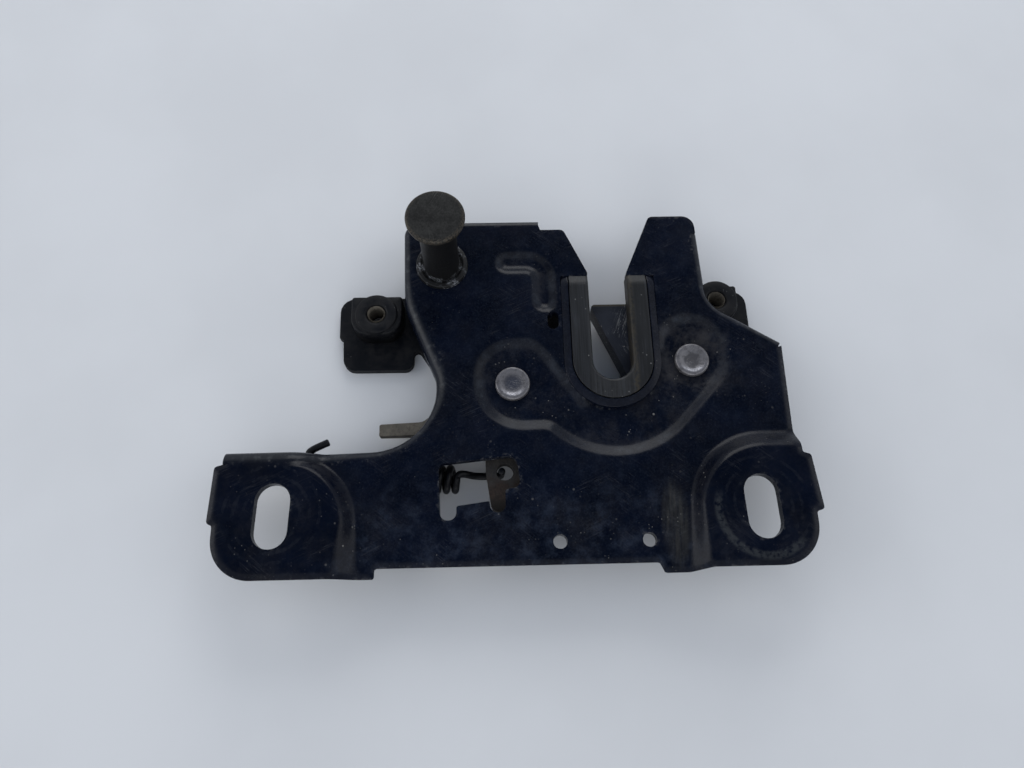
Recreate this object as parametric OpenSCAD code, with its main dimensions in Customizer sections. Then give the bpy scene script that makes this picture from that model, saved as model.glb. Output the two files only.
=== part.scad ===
// Bonnet latch: a pressed front plate with a striker slot, a rotary catch, a spring loaded pawl with its
// release lever, a rear plate with two threaded ears, and a headed safety stud.
// The latch lies on its rear plate. +X runs along the two mounting slots, +Y towards the mouth of the
// striker slot, +Z out of the front face. The origin is midway between the mounting slots, on the pads.

/* [Front plate] */
// Thickness of the front and rear sheet
sheet = 2.5; // [2:0.1:3]
// Distance between the centres of the mounting slots
slot_spacing = 119; // [114:1:124]
// Width of a mounting slot
mount_slot_w = 9; // [8:0.5:10]
// Length of a mounting slot from end to end
mount_slot_len = 16; // [13:0.5:17]
// Lean of each mounting slot, outwards at its foot
mount_slot_lean = 2; // [0:0.5:3]
// Distance from a slot centre to the outer edge of its wing
wing_out = 14; // [13:0.5:15.5]
// Distance from the slot line to the top edge of the left wing
wing_top = 16; // [15:0.5:18]
// Distance from the slot line to the lower edge of the wings
wing_low = 15; // [14:0.5:16.5]
// Distance from the slot line to the lower edge of the middle panel
panel_low = 12.5; // [11:0.5:13]
// Distance from the slot line to the flanged top edge
plate_top = 83; // [80:0.2:84]
// Place of the left neck edge, along X
neck_left = -29.4; // [-31:0.2:-28.4]
// Place of the right edge of the right prong, along X
prong_right = 52.6; // [52:0.2:54]
// Height of the mounting pads above the panel
pad_rise = 4; // [3:0.25:5]
// Depth of the pressed pan round the pivots
pan_depth = 1.6; // [1:0.1:2]
// Depth of the edge flanges below the panel's front face
flange_drop = 6; // [5:0.25:6.25]
// Depth of the right prong's flange below the panel's front face
right_drop = 3; // [2.5:0.1:3.1]

/* [Striker slot] */
// Place of the middle of the slot, along X
slot_x = 26; // [25:0.5:27]
// Place of the centre of the slot's round end, along Y
slot_y = 40; // [39.5:0.5:41]
// Clear width of the slot inside its liner
slot_w = 10.6; // [10:0.2:11.4]
// Width of the liner's face
liner_w = 5.5; // [4.5:0.25:5.75]
// Place of the upper ends of the liner, along Y
liner_top = 65; // [62:0.5:67]
// Width of the liner's lip inside the plate's own slot
liner_lip = 2; // [1.5:0.25:2.5]

/* [Pivots] */
// Place of the catch pivot, along X
catch_x = 47.2; // [46.9:0.1:47.5]
// Place of the catch pivot, along Y
catch_y = 40.1; // [39.8:0.1:40.3]
// Place of the pawl pivot, along X
pawl_x = -0.6; // [-1:0.1:-0.3]
// Place of the pawl pivot, along Y
pawl_y = 34.3; // [34:0.1:34.6]
// Radius of the rivet shanks
rivet_r = 3.6; // [3:0.1:4]
// Radius of the rivet heads
rivet_head_r = 4.55; // [4.3:0.05:4.8]
// Outside radius of the bushes between the plates
bush_r = 5; // [4.8:0.1:5.3]
// Running clearance of the catch and the pawl on their bushes
run_gap = 0.05; // [0.03:0.01:0.09]
// Clearance in front of and behind the catch
side_gap = 0.3; // [0.25:0.05:0.5]

/* [Catch and pawl] */
// Thickness of the catch
catch_t = 6; // [5.5:0.25:6.5]
// Angle that the catch turns from open to closed
catch_turn = 66; // [60:1:68]
// Width of the catch's mouth
mouth_w = 10.6; // [10:0.2:11]
// Thickness of the pawl
pawl_t = 3; // [2.5:0.1:3.2]
// Thickness of the release lever
lever_t = 2.3; // [2:0.1:2.4]
// Turn of the pawl from rest into the catch
pawl_in = 14; // [13.5:0.5:15]
// Radius of the spring eye in the pawl's lower arm
eye_r = 2.2; // [2.1:0.1:2.6]
// Reach of the cable arm to the left of the pawl pivot
cable_reach = 35.5; // [33:0.5:38]

/* [Springs] */
// Wire radius of the pawl's extension spring
wire_r = 0.95; // [0.8:0.05:1]
// Mean coil radius of the extension spring
coil_r = 2.9; // [2.6:0.1:3.1]
// Number of coils in the extension spring
coils = 13; // [10:1:14]
// Wire radius of the catch's torsion spring
twist_wire_r = 0.6; // [0.5:0.05:0.65]
// Mean radius of the torsion spring
twist_r = 8; // [7.8:0.1:8.2]

/* [Rear plate and ears] */
// Place of the left ear's thread, along X
left_ear_x = -37.4; // [-38.4:0.2:-36.8]
// Place of the left ear's thread, along Y
left_ear_y = 56.2; // [55:0.2:57]
// Place of the right ear's thread, along X
right_ear_x = 56.7; // [56.6:0.1:57.4]
// Place of the right ear's thread, along Y
right_ear_y = 58.9; // [58.8:0.1:59.4]
// Radius of the ear threads at their crests
thread_r = 2.5; // [2.1:0.1:2.8]
// Height of the ear nuts above the rear plate
nut_h = 7.4; // [6.5:0.1:7.6]
// Width of the left ear's nut
left_nut_w = 13.8; // [12:0.2:14.2]
// Width of the right ear's nut, which stands beside the catch
right_nut_w = 11.8; // [11.4:0.2:12]
// Radius of the round collar of an ear nut
collar_r = 5.5; // [5:0.1:5.7]
// Place of the lower edge of the rear plate, along Y
rear_low = 20; // [19.5:0.5:22]

/* [Safety stud] */
// Place of the stud on the panel, along X
stud_x = -19.2; // [-20:0.2:-18]
// Place of the stud on the panel, along Y
stud_y = 68.7; // [67:0.1:70]
// Radius of the stud's shaft
stud_r = 4.8; // [4.2:0.1:5]
// Radius of the stud's head
stud_head_r = 7.4; // [6.8:0.1:7.8]
// Height of the stud above the panel
stud_h = 25.5; // [22:0.5:30]
// Radius of the collar at the stud's foot
stud_collar_r = 7.1; // [6.8:0.1:7.5]

/* [Hidden] */
$fn = 64;
fit = 0.05;
cut = 1;

// Levels, downwards from the front of the pads
panel_z = -pad_rise;
panel_back = panel_z - sheet;
pan_z = panel_z - pan_depth;
pan_back = pan_z - sheet;
catch_front = pan_back - side_gap;
catch_back = catch_front - catch_t;
rear_z = catch_back - side_gap;
rear_back = rear_z - sheet;
flange_z = panel_z - flange_drop;
pawl_front = catch_front - 0.2;
pawl_back = pawl_front - pawl_t;
lever_front = pawl_back - 0.1;
lever_back = lever_front - lever_t;

catch_axis = [catch_x, catch_y];
pawl_axis = [pawl_x, pawl_y];
left_ear = [left_ear_x, left_ear_y];
right_ear = [right_ear_x, right_ear_y];
stud_foot = [stud_x, stud_y];
mount_x = slot_spacing / 2;
wing_x = mount_x + wing_out;
tab_out = 1.4;
slot_half = slot_w / 2;
seat_half = slot_half + liner_w;

function unit(v) = v / norm(v);

// Corner q between p and s as points on an arc of radius r
function corner(p, q, s, r, n) =
    let (u = unit(p - q), v = unit(s - q), half = acos(u * v) / 2, d = r / tan(half),
         c = q + unit(u + v) * r / sin(half), a = q + u * d - c, b = q + v * d - c,
         t0 = atan2(a.y, a.x), swing = atan2(a.x * b.y - a.y * b.x, a * b))
    [for (i = [0:n]) c + r * [cos(t0 + swing * i / n), sin(t0 + swing * i / n)]];

function flat(p) = [p.x, p.y];

function bend(p, q, s) = q.z == 0 ? [flat(q)]
    : corner(flat(p), flat(q), flat(s), q.z, q.z > 6 ? 12 : 5);

// Open path through [x, y, radius] points, and the same closed
function open_path(k) = concat([flat(k[0])],
    [for (i = [1:len(k) - 2]) each bend(k[i - 1], k[i], k[i + 1])], [flat(k[len(k) - 1])]);
function closed_path(k) = let (n = len(k))
    [for (i = [0:n - 1]) each bend(k[(i + n - 1) % n], k[i], k[(i + 1) % n])];

// Path moved by d to its right hand side
function beside(path, d) = let (n = len(path)) [for (i = [0:n - 1])
    let (e = unit(path[min(i + 1, n - 1)] - path[max(i - 1, 0)])) path[i] + d * [e.y, -e.x]];
// Closed path moved by d to its left hand side
function around(path, d) = let (n = len(path)) [for (i = [0:n - 1])
    let (e = unit(path[(i + 1) % n] - path[(i + n - 1) % n])) path[i] + d * [-e.y, e.x]];
function backwards(a) = [for (i = [len(a) - 1:-1:0]) a[i]];

// Edge of the plate from the left wing, round the neck and along the top
left_edge = [[-wing_x + 1.5, wing_top, 0], [neck_left + 9.4, wing_top, 16.5], [neck_left + 9.4, 37, 8],
             [neck_left, 57, 12], [neck_left - 0.6, plate_top, 4], [7.7, plate_top, 0]];
// Edge of the plate from the right prong to the end of the shoulder
right_edge = [[prong_right - 0.3, 78, 0], [prong_right + 0.4, 56.5, 9], [wing_x - 2, 44.8, 0]];

// Remaining edges, clockwise: across the top with the mouth of the slot, and round the wings
mouth_edge = [[8.2, 79.6, 0], [14.6, 79.6, 1.5], [slot_x - slot_half, 66, 1],
              [slot_x - slot_half, liner_top, 0],
              [slot_x + slot_half, liner_top, 0], [slot_x + slot_half, 65.5, 1], [39, 83.4, 1.5],
              [prong_right - 1, 83.4, 3.5], [prong_right - 0.8, 78, 0]];
foot_step = 35;
wing_edge = [[wing_x - 2, 43.5, 0], [wing_x - 2.4, 19.5, 3], [wing_x - 2.3, 13.3, 0.4],
             [wing_x + tab_out - 1.7, 12.7, 0.5],
             [wing_x + tab_out - 0.4, -1, 0.8], [wing_x - 1, -1.6, 0.3], [wing_x - 1, 0.8 - wing_low, 10],
             [46, 0.8 - wing_low, 4], [41, -wing_low, 4], [foot_step, -wing_low, 0.5],
             [foot_step - 1.2, -panel_low, 0.5],
             [-foot_step, -panel_low, 0.5], [-foot_step, -wing_low, 0.5], [-wing_x, -wing_low, 10],
             [-wing_x, -2, 0.3], [-wing_x - tab_out, -1.4, 0.8], [-wing_x - tab_out + 0.6, 12.4, 0.8],
             [-wing_x + 1, 12.9, 0.3]];

module outline() {
    polygon(concat(open_path(left_edge), open_path(mouth_edge), open_path(right_edge), open_path(wing_edge)));
}

// Straight slot with round ends, along Y
module round_slot(w, length) {
    square([w, length - w], center = true);
    for (s = [-1, 1]) translate([0, s * (length - w) / 2]) circle(d = w);
}

// Slot that is round at its foot and open at the top, up to y
module open_slot(half, top) {
    translate([slot_x, slot_y]) circle(half);
    translate([slot_x - half, slot_y]) square([2 * half, top - slot_y]);
}

module mount_slots() {
    for (s = [-1, 1]) translate([s * mount_x, 0]) rotate(s * mount_slot_lean)
        round_slot(mount_slot_w, mount_slot_len);
}

// Window over the spring and the pawl's lower arm, with its two round lobes
module window() {
    polygon(closed_path([[-19.8, 12.9, 1.5], [-0.2, 14.9, 2.5], [0.8, 6.8, 2], [-3.1, 6, 0.5],
                         [-3.1, 2.4, 0],
                         [-7, 2.3, 0], [-7, 3.3, 0], [-15.3, 2.2, 0.5], [-15.3, 0.6, 0], [-19.3, 0.6, 0]]));
    translate([-17.3, 0.7]) circle(2);
    translate([-5.05, 2.3]) circle(1.95);
}

// Small round holes in the panel, and the slot pierced at the foot of the bead
small_hole_r = 1.75;
small_holes = [[10, -7], [31.9, -7]];
pierced_at = [10.7, 51.9];
pierced_w = 3;
pierced_len = 5.2;
module openings() {
    mount_slots();
    window();
    for (p = small_holes) translate(p) circle(small_hole_r);
    translate(pierced_at) round_slot(pierced_w, pierced_len);
    open_slot(slot_half + liner_lip, liner_top);
    translate(stud_foot) circle(stud_tail_r + fit);
    for (p = [catch_axis, pawl_axis]) translate(p) circle(rivet_r + fit);
}
stud_tail_r = 3.5;

// Pads: cones about a point below each slot, cut by the outline
pad_out = 4.5;
pad_low = -6;
pad_r = 20;
pad_run = 5.7;
module pad_cones(lower) {
    slope = pad_run / pad_rise;
    for (s = [-1, 1]) translate([s * (mount_x + pad_out), pad_low, panel_back - lower])
        cylinder(r1 = pad_r + slope * (pad_rise + sheet), r2 = pad_r, h = pad_rise + sheet);
}

// Pan: dishes round both pivots, joined by a channel round the foot of the slot
pan_low = 24.4;
pan_edge = [[pawl_x - 9.1, pawl_y + 12.9, 10], [pawl_x + 7.8, pawl_y + 12.9, 5],
            [pawl_x + 9.1, pawl_y + 0.2, 12],
            [slot_x - 5.5, slot_y - 12.3, 8], [slot_x + 6, slot_y - 12.3, 6],
            [catch_x - 9.5, catch_y - 9.1, 5],
            [catch_x - 7.6, catch_y + 12.5, 8], [catch_x + 9.8, catch_y + 12.5, 9.2],
            [catch_x + 9.8, catch_y - 3.6, 12],
            [slot_x + pan_low * tan(22.5), slot_y - pan_low, pan_low - 0.4],
            [slot_x - pan_low * tan(20), slot_y - pan_low, pan_low - 0.4],
            [pawl_x + 9.2, pawl_y - 11.5, 4.5],
            [pawl_x - 9.1, pawl_y - 11.9, 12]];
module pan(grow, bottom, h) {
    translate([0, 0, bottom]) linear_extrude(h) polygon(around(closed_path(pan_edge), grow));
}

// Pressed hook shaped bead left of the slot's mouth
bead_r = 3.2;
bead_rise = 1.8;
bead_bend = 5;
bead_corner = [3.7, 64.8];
bead_legs = [4.9, 6.8];
module bead_groove() {
    translate([0, 0, panel_z + bead_rise]) {
        translate([bead_corner.x, bead_corner.y + bead_bend, 0]) rotate([0, -90, 0])
            cylinder(r = bead_r, h = bead_legs.x);
        translate([bead_corner.x - bead_legs.x, bead_corner.y + bead_bend, 0]) sphere(bead_r);
        translate(bead_corner) rotate_extrude(angle = 90) translate([bead_bend, 0]) circle(bead_r);
        translate([bead_corner.x + bead_bend, bead_corner.y, 0]) rotate([90, 0, 0])
            cylinder(r = bead_r, h = bead_legs.y);
        translate([bead_corner.x + bead_bend, bead_corner.y - bead_legs.y, 0]) sphere(bead_r);
    }
}

// Hole in the left wing's flange for the spring's end
hitch_x = -53.5;
hitch_z = -8.2;
hitch_r = 1.4;
module flanges() {
    intersection() {
        union() {
            translate([0, 0, flange_z]) linear_extrude(pad_rise + flange_drop) edge_band(left_edge);
            translate([0, 0, panel_z - right_drop]) linear_extrude(right_drop) edge_band(right_edge);
        }
        union() {
            translate([-wing_x, -wing_low, flange_z - cut])
                cube([2 * wing_x, 2 * plate_top, flange_drop + cut]);
            pad_cones(0);
        }
    }
}
module edge_band(edge) {
    path = open_path(edge);
    polygon(concat(path, backwards(beside(path, sheet))));
}

module main_plate() {
    color([0.05, 0.06, 0.08]) difference() {
        union() {
            difference() {
                union() {
                    translate([0, 0, panel_back]) linear_extrude(sheet) outline();
                    intersection() {
                        translate([0, 0, panel_back]) linear_extrude(sheet + pad_rise) outline();
                        pad_cones(0);
                    }
                    pan(sheet, pan_back, sheet);
                    translate([0, 0, pan_back]) linear_extrude(sheet)
                        open_slot(seat_half + sheet, liner_top);
                }
                pad_cones(sheet);
                pan(0, pan_z, pan_depth + cut / 4);
                translate([0, 0, pan_z]) linear_extrude(pan_depth + cut)
                    open_slot(seat_half + fit, liner_top + fit);
                translate([0, 0, pan_back - cut])
                    linear_extrude(pad_rise + 3 * sheet + pan_depth) openings();
            }
            flanges();
        }
        bead_groove();
        translate([hitch_x, wing_top + cut, hitch_z]) rotate([90, 0, 0])
            cylinder(r = hitch_r, h = sheet + 2 * cut);
    }
}

module slot_liner() {
    color([0.16, 0.16, 0.17]) {
        translate([0, 0, pan_z]) linear_extrude(pan_depth) difference() {
            open_slot(seat_half, liner_top);
            open_slot(slot_half, liner_top + cut);
        }
        translate([0, 0, pan_back]) linear_extrude(sheet) difference() {
            open_slot(slot_half + liner_lip - fit, liner_top - fit);
            open_slot(slot_half, liner_top + cut);
        }
    }
}

// Rear plate: clockwise from the foot of the left ear
rear_slot_half = 9.4;
rear_top = 66;
rear_edge = [[-47, 42.4, 3.4], [-47.4, 51.6, 0.4], [-48.5, 52.3, 0.3], [-48.7, 64.2, 4], [-30, 64.2, 3],
             [-26, rear_top, 3],
             [slot_x + 0.8 - rear_slot_half, rear_top, 3], [slot_x + 0.8 - rear_slot_half, slot_y, 0],
             [slot_x + 0.8 + rear_slot_half, slot_y, 0], [slot_x + 0.8 + rear_slot_half, rear_top, 3],
             [67.2, 64.6, 4], [67.2, 51, 3], [60, 45, 6], [60, rear_low, 8], [-14, rear_low, 6],
             [-16, 34, 10],
             [-22.6, 42.4, 1], [-27.4, 50, 1], [-27.8, 42.3, 2.5]];
csk_r = 5.2;
csk_h = 1.6;
leg_turn = 255;
module rear_plate() {
    color([0.08, 0.08, 0.09]) difference() {
        translate([0, 0, rear_back]) linear_extrude(sheet) difference() {
            polygon(closed_path(rear_edge));
            translate([slot_x + 0.8, slot_y]) circle(rear_slot_half);
            for (p = [catch_axis, pawl_axis]) translate(p) circle(rivet_r + fit);
            for (p = [left_ear, right_ear]) translate(p) circle(thread_r + 0.7);
            translate(catch_axis + twist_r * [cos(leg_turn), sin(leg_turn)]) circle(twist_wire_r + 0.3);
        }
        for (p = [catch_axis, pawl_axis]) translate([p.x, p.y, rear_back])
            cylinder(r1 = csk_r + fit, r2 = rivet_r + fit, h = csk_h);
    }
}

// Weld nut: square on its far side, round on its near side, with a low round collar
foot_h = 6.6;
left_far = 5.9;
right_far = 4.4;
foot_near = 5.8;
foot_round = 5;
module ear_nut(place, w, far) {
    color([0.09, 0.09, 0.1]) translate([place.x, place.y, rear_z]) difference() {
        union() {
            linear_extrude(foot_h) polygon(closed_path([[-w / 2, far, 0.6], [w / 2, far, 0.6],
                                                        [w / 2, -foot_near, foot_round],
                                                        [-w / 2, -foot_near, foot_round]]));
            cylinder(r = collar_r, h = nut_h);
        }
        translate([0, 0, -cut]) cylinder(r = thread_r, h = nut_h + 2 * cut);
    }
}
module left_ear_nut() {
    ear_nut(left_ear, left_nut_w, left_far);
}
module right_ear_nut() {
    ear_nut(right_ear, right_nut_w, right_far);
}

// Stud: a turned profile with a thin head, a low collar and a riveted tail
module safety_stud() {
    tail = 1;
    head = 1.8;
    collar = 1.2;
    edge = 0.4;
    color([0.35, 0.34, 0.3]) translate([stud_foot.x, stud_foot.y, panel_z]) rotate_extrude()
        polygon([[0, -sheet - tail], [stud_r - 0.2, -sheet - tail], [stud_r + 0.6, -sheet - tail / 2],
                 [stud_r + 0.6, -sheet], [stud_tail_r, -sheet], [stud_tail_r, 0], [stud_collar_r, 0],
                 [stud_collar_r, collar - edge], [stud_collar_r - edge, collar], [stud_r + 1, collar],
                 [stud_r, edge],
                 [stud_r, stud_h - head - edge], [stud_r + edge, stud_h - head],
                 [stud_head_r - edge, stud_h - head],
                 [stud_head_r, stud_h - head + edge], [stud_head_r, stud_h - edge],
                 [stud_head_r - edge, stud_h],
                 [0, stud_h]]);
}

// Rivet through both plates: low front head with a dimple, countersunk tail
module pivot_rivet(place) {
    head = 1.3;
    edge = 0.5;
    color([0.62, 0.59, 0.57]) translate([place.x, place.y, 0]) difference() {
        rotate_extrude() polygon([[0, rear_back + 0.1], [csk_r - 0.1, rear_back + 0.1],
                                  [rivet_r, rear_back + csk_h],
                                  [rivet_r, pan_z], [rivet_head_r, pan_z],
                                  [rivet_head_r, pan_z + head - edge],
                                  [rivet_head_r - edge, pan_z + head], [0, pan_z + head]]);
        translate([0, 0, pan_z + head + 1.1]) sphere(1.5);
    }
}
module catch_rivet() {
    pivot_rivet(catch_axis);
}
module pawl_rivet() {
    pivot_rivet(pawl_axis);
}
module pivot_bush(place) {
    color([0.5, 0.48, 0.44]) translate([place.x, place.y, rear_z]) difference() {
        cylinder(r = bush_r, h = pan_back - rear_z);
        translate([0, 0, -cut]) cylinder(r = rivet_r + fit, h = pan_back - rear_z + 2 * cut);
    }
}
module catch_bush() {
    pivot_bush(catch_axis);
}
module pawl_bush() {
    pivot_bush(pawl_axis);
}

// Catch, drawn open about its own pivot: a hub, the finger that the striker strikes and the keeper above it
mouth_turn = 180 - catch_turn;
mouth_reach = norm([slot_x, slot_y] - catch_axis);
hub_r = 12;
finger_tip = [-25.9, 18.2];
keeper_end = [-30.7, 13.4];
keeper_t = 4.6;
coil_room = 1.8;
// Keeper with the tooth that the pawl hooks behind, drawn closed and turned open
function turned(k, a) = [k.x * cos(a) - k.y * sin(a), k.x * sin(a) + k.y * cos(a), k.z];
keeper_edge = [[-14.5, mouth_w / 2 + keeper_t - 0.7, 5], [keeper_end.x + 4.1, mouth_w / 2 + keeper_t, 1],
               [keeper_end.x + 1.2, keeper_end.y + 0.1, 0.5], [keeper_end.x + 0.2, keeper_end.y, 0.8],
               [keeper_end.x, 0, 0]];
catch_edge = concat([[-15.6, -5.5, 3], [-8, -hub_r, 7], [hub_r, -hub_r, hub_r], [hub_r - 0.5, 4.5, 5],
                     [5.5, 11.5, 2]],
                    [for (k = keeper_edge) turned(k, -catch_turn)],
                    [[-8.3, finger_tip.y, 0], [finger_tip.x, finger_tip.y, 0.9]]);
module catch_mouth() {
    rotate(mouth_turn) {
        translate([mouth_reach, 0]) circle(d = mouth_w);
        translate([mouth_reach, -mouth_w / 2]) square([2 * hub_r, mouth_w]);
    }
}
notch_turn = 60;
module catch() {
    color([0.07, 0.08, 0.1]) translate([catch_axis.x, catch_axis.y, catch_back]) difference() {
        linear_extrude(catch_t) polygon(closed_path(catch_edge));
        translate([0, 0, -cut]) linear_extrude(catch_t + 2 * cut) catch_mouth();
        translate([0, 0, -cut]) cylinder(r = bush_r + run_gap, h = catch_t + 2 * cut);
        translate([0, 0, -cut]) linear_extrude(coil_depth + cut) difference() {
            circle(twist_r + coil_room);
            circle(twist_r - coil_room);
        }
        rotate(notch_turn) translate([twist_r, -twist_wire_r - 0.3, -cut])
            cube([hub_r - 1 - twist_r, 2 * twist_wire_r + 0.6, coil_depth + cut]);
    }
}
coil_depth = 4.2;

// Round wire along a list of points
wire_sides = 8;
function heading(path, i) = unit(path[min(i + 1, len(path) - 1)] - path[max(i - 1, 0)]);
function across(u, d) = unit(u - (u * d) * d);
// Sideways direction carried along the path without twist
function sides(path) = [for (i = 0, u = across([0.3, 0.9, 0.2], heading(path, 0)); i < len(path);
                             i = i + 1, u = across(u, heading(path, min(i, len(path) - 1)))) u];
function ring(c, d, u, r) = [for (k = [0:wire_sides - 1])
    c + r * (cos(k * 360 / wire_sides) * u + sin(k * 360 / wire_sides) * cross(d, u))];
// Corner cutting, which rounds a path between its end points
function softer(p) = concat([p[0]], [for (i = [0:len(p) - 2]) each
    [0.75 * p[i] + 0.25 * p[i + 1], 0.25 * p[i] + 0.75 * p[i + 1]]], [p[len(p) - 1]]);
module wire(path, r) {
    n = len(path);
    m = wire_sides;
    u = sides(path);
    polyhedron([for (i = [0:n - 1]) each ring(path[i], heading(path, i), u[i], r)],
               concat([[for (k = [0:m - 1]) k]], [[for (k = [m - 1:-1:0]) (n - 1) * m + k]],
                      [for (i = [0:n - 2]) for (k = [0:m - 1])
                          [i * m + k, (i + 1) * m + k, (i + 1) * m + (k + 1) % m, i * m + (k + 1) % m]]));
}

// Torsion spring in the ring groove of the catch: one leg in the catch, one down into the rear plate
module catch_spring() {
    turns = (leg_turn - notch_turn) / 360 + 1;
    top = catch_back + coil_depth - twist_wire_r - 0.3;
    low = catch_back + twist_wire_r + 0.3;
    steps = 36;
    coil = [for (i = [0:steps]) let (a = notch_turn + turns * 360 * i / steps)
        [twist_r * cos(a), twist_r * sin(a), top + (low - top) * i / steps]];
    out = [cos(notch_turn), sin(notch_turn), 0];
    leg = [coil[steps].x, coil[steps].y, rear_z - 1.5];
    color([0.3, 0.29, 0.28]) translate([catch_axis.x, catch_axis.y, 0])
        wire(concat([coil[0] + 2.3 * out, coil[0] + 0.8 * out], [for (i = [1:steps]) coil[i]],
                    [leg + [0, 0, 1.4], leg]), twist_wire_r);
}

// Pawl, drawn at rest about its own pivot: hook arm, and lower arm with the spring eye
pawl_hub = 9;
eye = [-2.5, -22.7];
arm_half = 4.1;
// Hook drawn from the root of the catch's tooth, in the closed latch
tooth_root = catch_axis + [keeper_end.x + 4.1, mouth_w / 2 + keeper_t];
hook_at = tooth_root - pawl_axis;
hook_edge = [[-12, 6.5, 3], [-1.4, 8.2, 1.2], [1.7, 4, 1], [1.6, 1, 0.5], [0.1, 0.5, 0.3], [-3, 4.2, 0.8],
             [-6.3, 1.4, 0]];
arm_edge = [[-7.5, 0, 0], [eye.x - arm_half - 0.8, eye.y, 0], [-5.9, -33, 2.4], [-0.6, -33, 2.4],
            [eye.x + arm_half, eye.y - 3, 0], [eye.x + arm_half + 0.3, eye.y + 4, 0], [6, -6, 0],
            [6, 0, 0]];
neck_edge = [[-4, 7.9], hook_at + [-10.7, 6.8], hook_at + [-5.9, 2.1], [8.3, 3], [0, 0]];
lever_pin = [-2.6, -11.4];
lever_pin_r = 1.6;
module pawl() {
    color([0.33, 0.25, 0.19]) translate([pawl_axis.x, pawl_axis.y, pawl_back]) difference() {
        union() {
            cylinder(r = pawl_hub, h = pawl_t);
            linear_extrude(pawl_t) polygon(closed_path(arm_edge));
            rotate(pawl_in) linear_extrude(pawl_t) polygon(neck_edge);
            rotate(pawl_in) translate(hook_at) linear_extrude(pawl_t) polygon(closed_path(hook_edge));
        }
        translate([0, 0, -cut]) cylinder(r = bush_r + run_gap, h = pawl_t + 2 * cut);
        translate([eye.x, eye.y, -cut]) cylinder(r = eye_r, h = pawl_t + 2 * cut);
        translate([lever_pin.x, lever_pin.y, -cut]) cylinder(r = lever_pin_r + fit, h = pawl_t + 2 * cut);
    }
}

// Release lever behind the pawl, with its cable arm to the left
module release_lever() {
    color([0.4, 0.39, 0.33]) translate([pawl_axis.x, pawl_axis.y, lever_back]) linear_extrude(lever_t)
        difference() {
        union() {
            circle(pawl_hub - 0.5);
            polygon(closed_path([[-4, 6, 0], [-18, -3, 10], [-24, -8.6, 3], [-cable_reach, -8.6, 0.6],
                                 [-cable_reach, -12.6, 0.6],
                                 [-20, -12.6, 4], [-6, -15, 3], [1.5, -14.6, 3], [5, -4, 0]]));
        }
        circle(bush_r + run_gap);
        translate(lever_pin) circle(lever_pin_r + fit);
    }
}
module lever_rivet() {
    head = 0.2;
    color([0.5, 0.49, 0.46]) translate([pawl_axis.x + lever_pin.x, pawl_axis.y + lever_pin.y, 0]) {
        translate([0, 0, lever_back - 0.2]) cylinder(r = lever_pin_r, h = pawl_front - lever_back + 0.4);
        translate([0, 0, pawl_front]) cylinder(r = lever_pin_r + 0.8, h = head);
    }
}

// Extension spring from the pawl's eye to the left wing's flange
coil_y = 10.8;
coil_z = -12.5;
coil_right = -15.4;
coil_pitch = 2.3;
module pawl_spring() {
    per_turn = 12;
    steps = (coils + 0.75) * per_turn;
    coil = [for (i = [0:steps]) let (a = -360 * i / per_turn)
        [coil_right - coil_pitch * i / per_turn, coil_y + coil_r * sin(a), coil_z + coil_r * cos(a)]];
    eye_at = pawl_axis + eye - [eye_r - wire_r - 0.2, 0];
    under = pawl_back - wire_r - 0.5;
    hook = [[eye_at.x + 0.3, eye_at.y, pawl_front + 0.7], [eye_at.x + 0.1, eye_at.y, pawl_front - 0.5],
            [eye_at.x + 0.1, eye_at.y, pawl_back - 0.9], [eye_at.x - 0.5, eye_at.y, under - 0.6],
            [eye_at.x - 2.6, eye_at.y, under - 0.4], [coil_right + 4.5, eye_at.y, under],
            [coil_right + 2.5, coil_y + 0.8, coil_z + coil_r - 1],
            [coil_right + 0.8, coil_y + 0.8, coil_z + coil_r],
            coil[0]];
    left = coil[steps].x;
    behind = wing_top - sheet - wire_r - 0.25;
    hitch = [coil[steps], [left - 0.7, behind + 0.9, coil_z + 1.2], [left - 3, behind - 0.2, hitch_z - 1.2],
             [hitch_x + 1.5, behind - 0.4, hitch_z], [hitch_x, behind + 0.2, hitch_z],
             [hitch_x, wing_top + 0.9, hitch_z],
             [hitch_x + 0.5, wing_top + 2.2, hitch_z], [hitch_x + 5, wing_top + 4.2, hitch_z]];
    rounded_hook = softer(softer(hook));
    rounded_hitch = softer(softer(hitch));
    color([0.05, 0.05, 0.05])
        wire(concat([for (i = [0:len(rounded_hook) - 2]) rounded_hook[i]], coil,
                    [for (i = [1:len(rounded_hitch) - 1]) rounded_hitch[i]]), wire_r);
}

main_plate();
slot_liner();
rear_plate();
left_ear_nut();
right_ear_nut();
safety_stud();
catch_rivet();
catch_bush();
pawl_rivet();
pawl_bush();
catch();
catch_spring();
pawl();
release_lever();
lever_rivet();
pawl_spring();
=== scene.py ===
"""Dresses the bonnet latch: a pressed, dip coated plate with its liner, stud, rivets, springs and levers."""

import math

import bmesh
import bpy
import numpy as np
from bpy.props import FloatProperty, FloatVectorProperty, PointerProperty
from mathutils import Matrix, Vector
from mathutils.geometry import delaunay_2d_cdt


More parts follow.
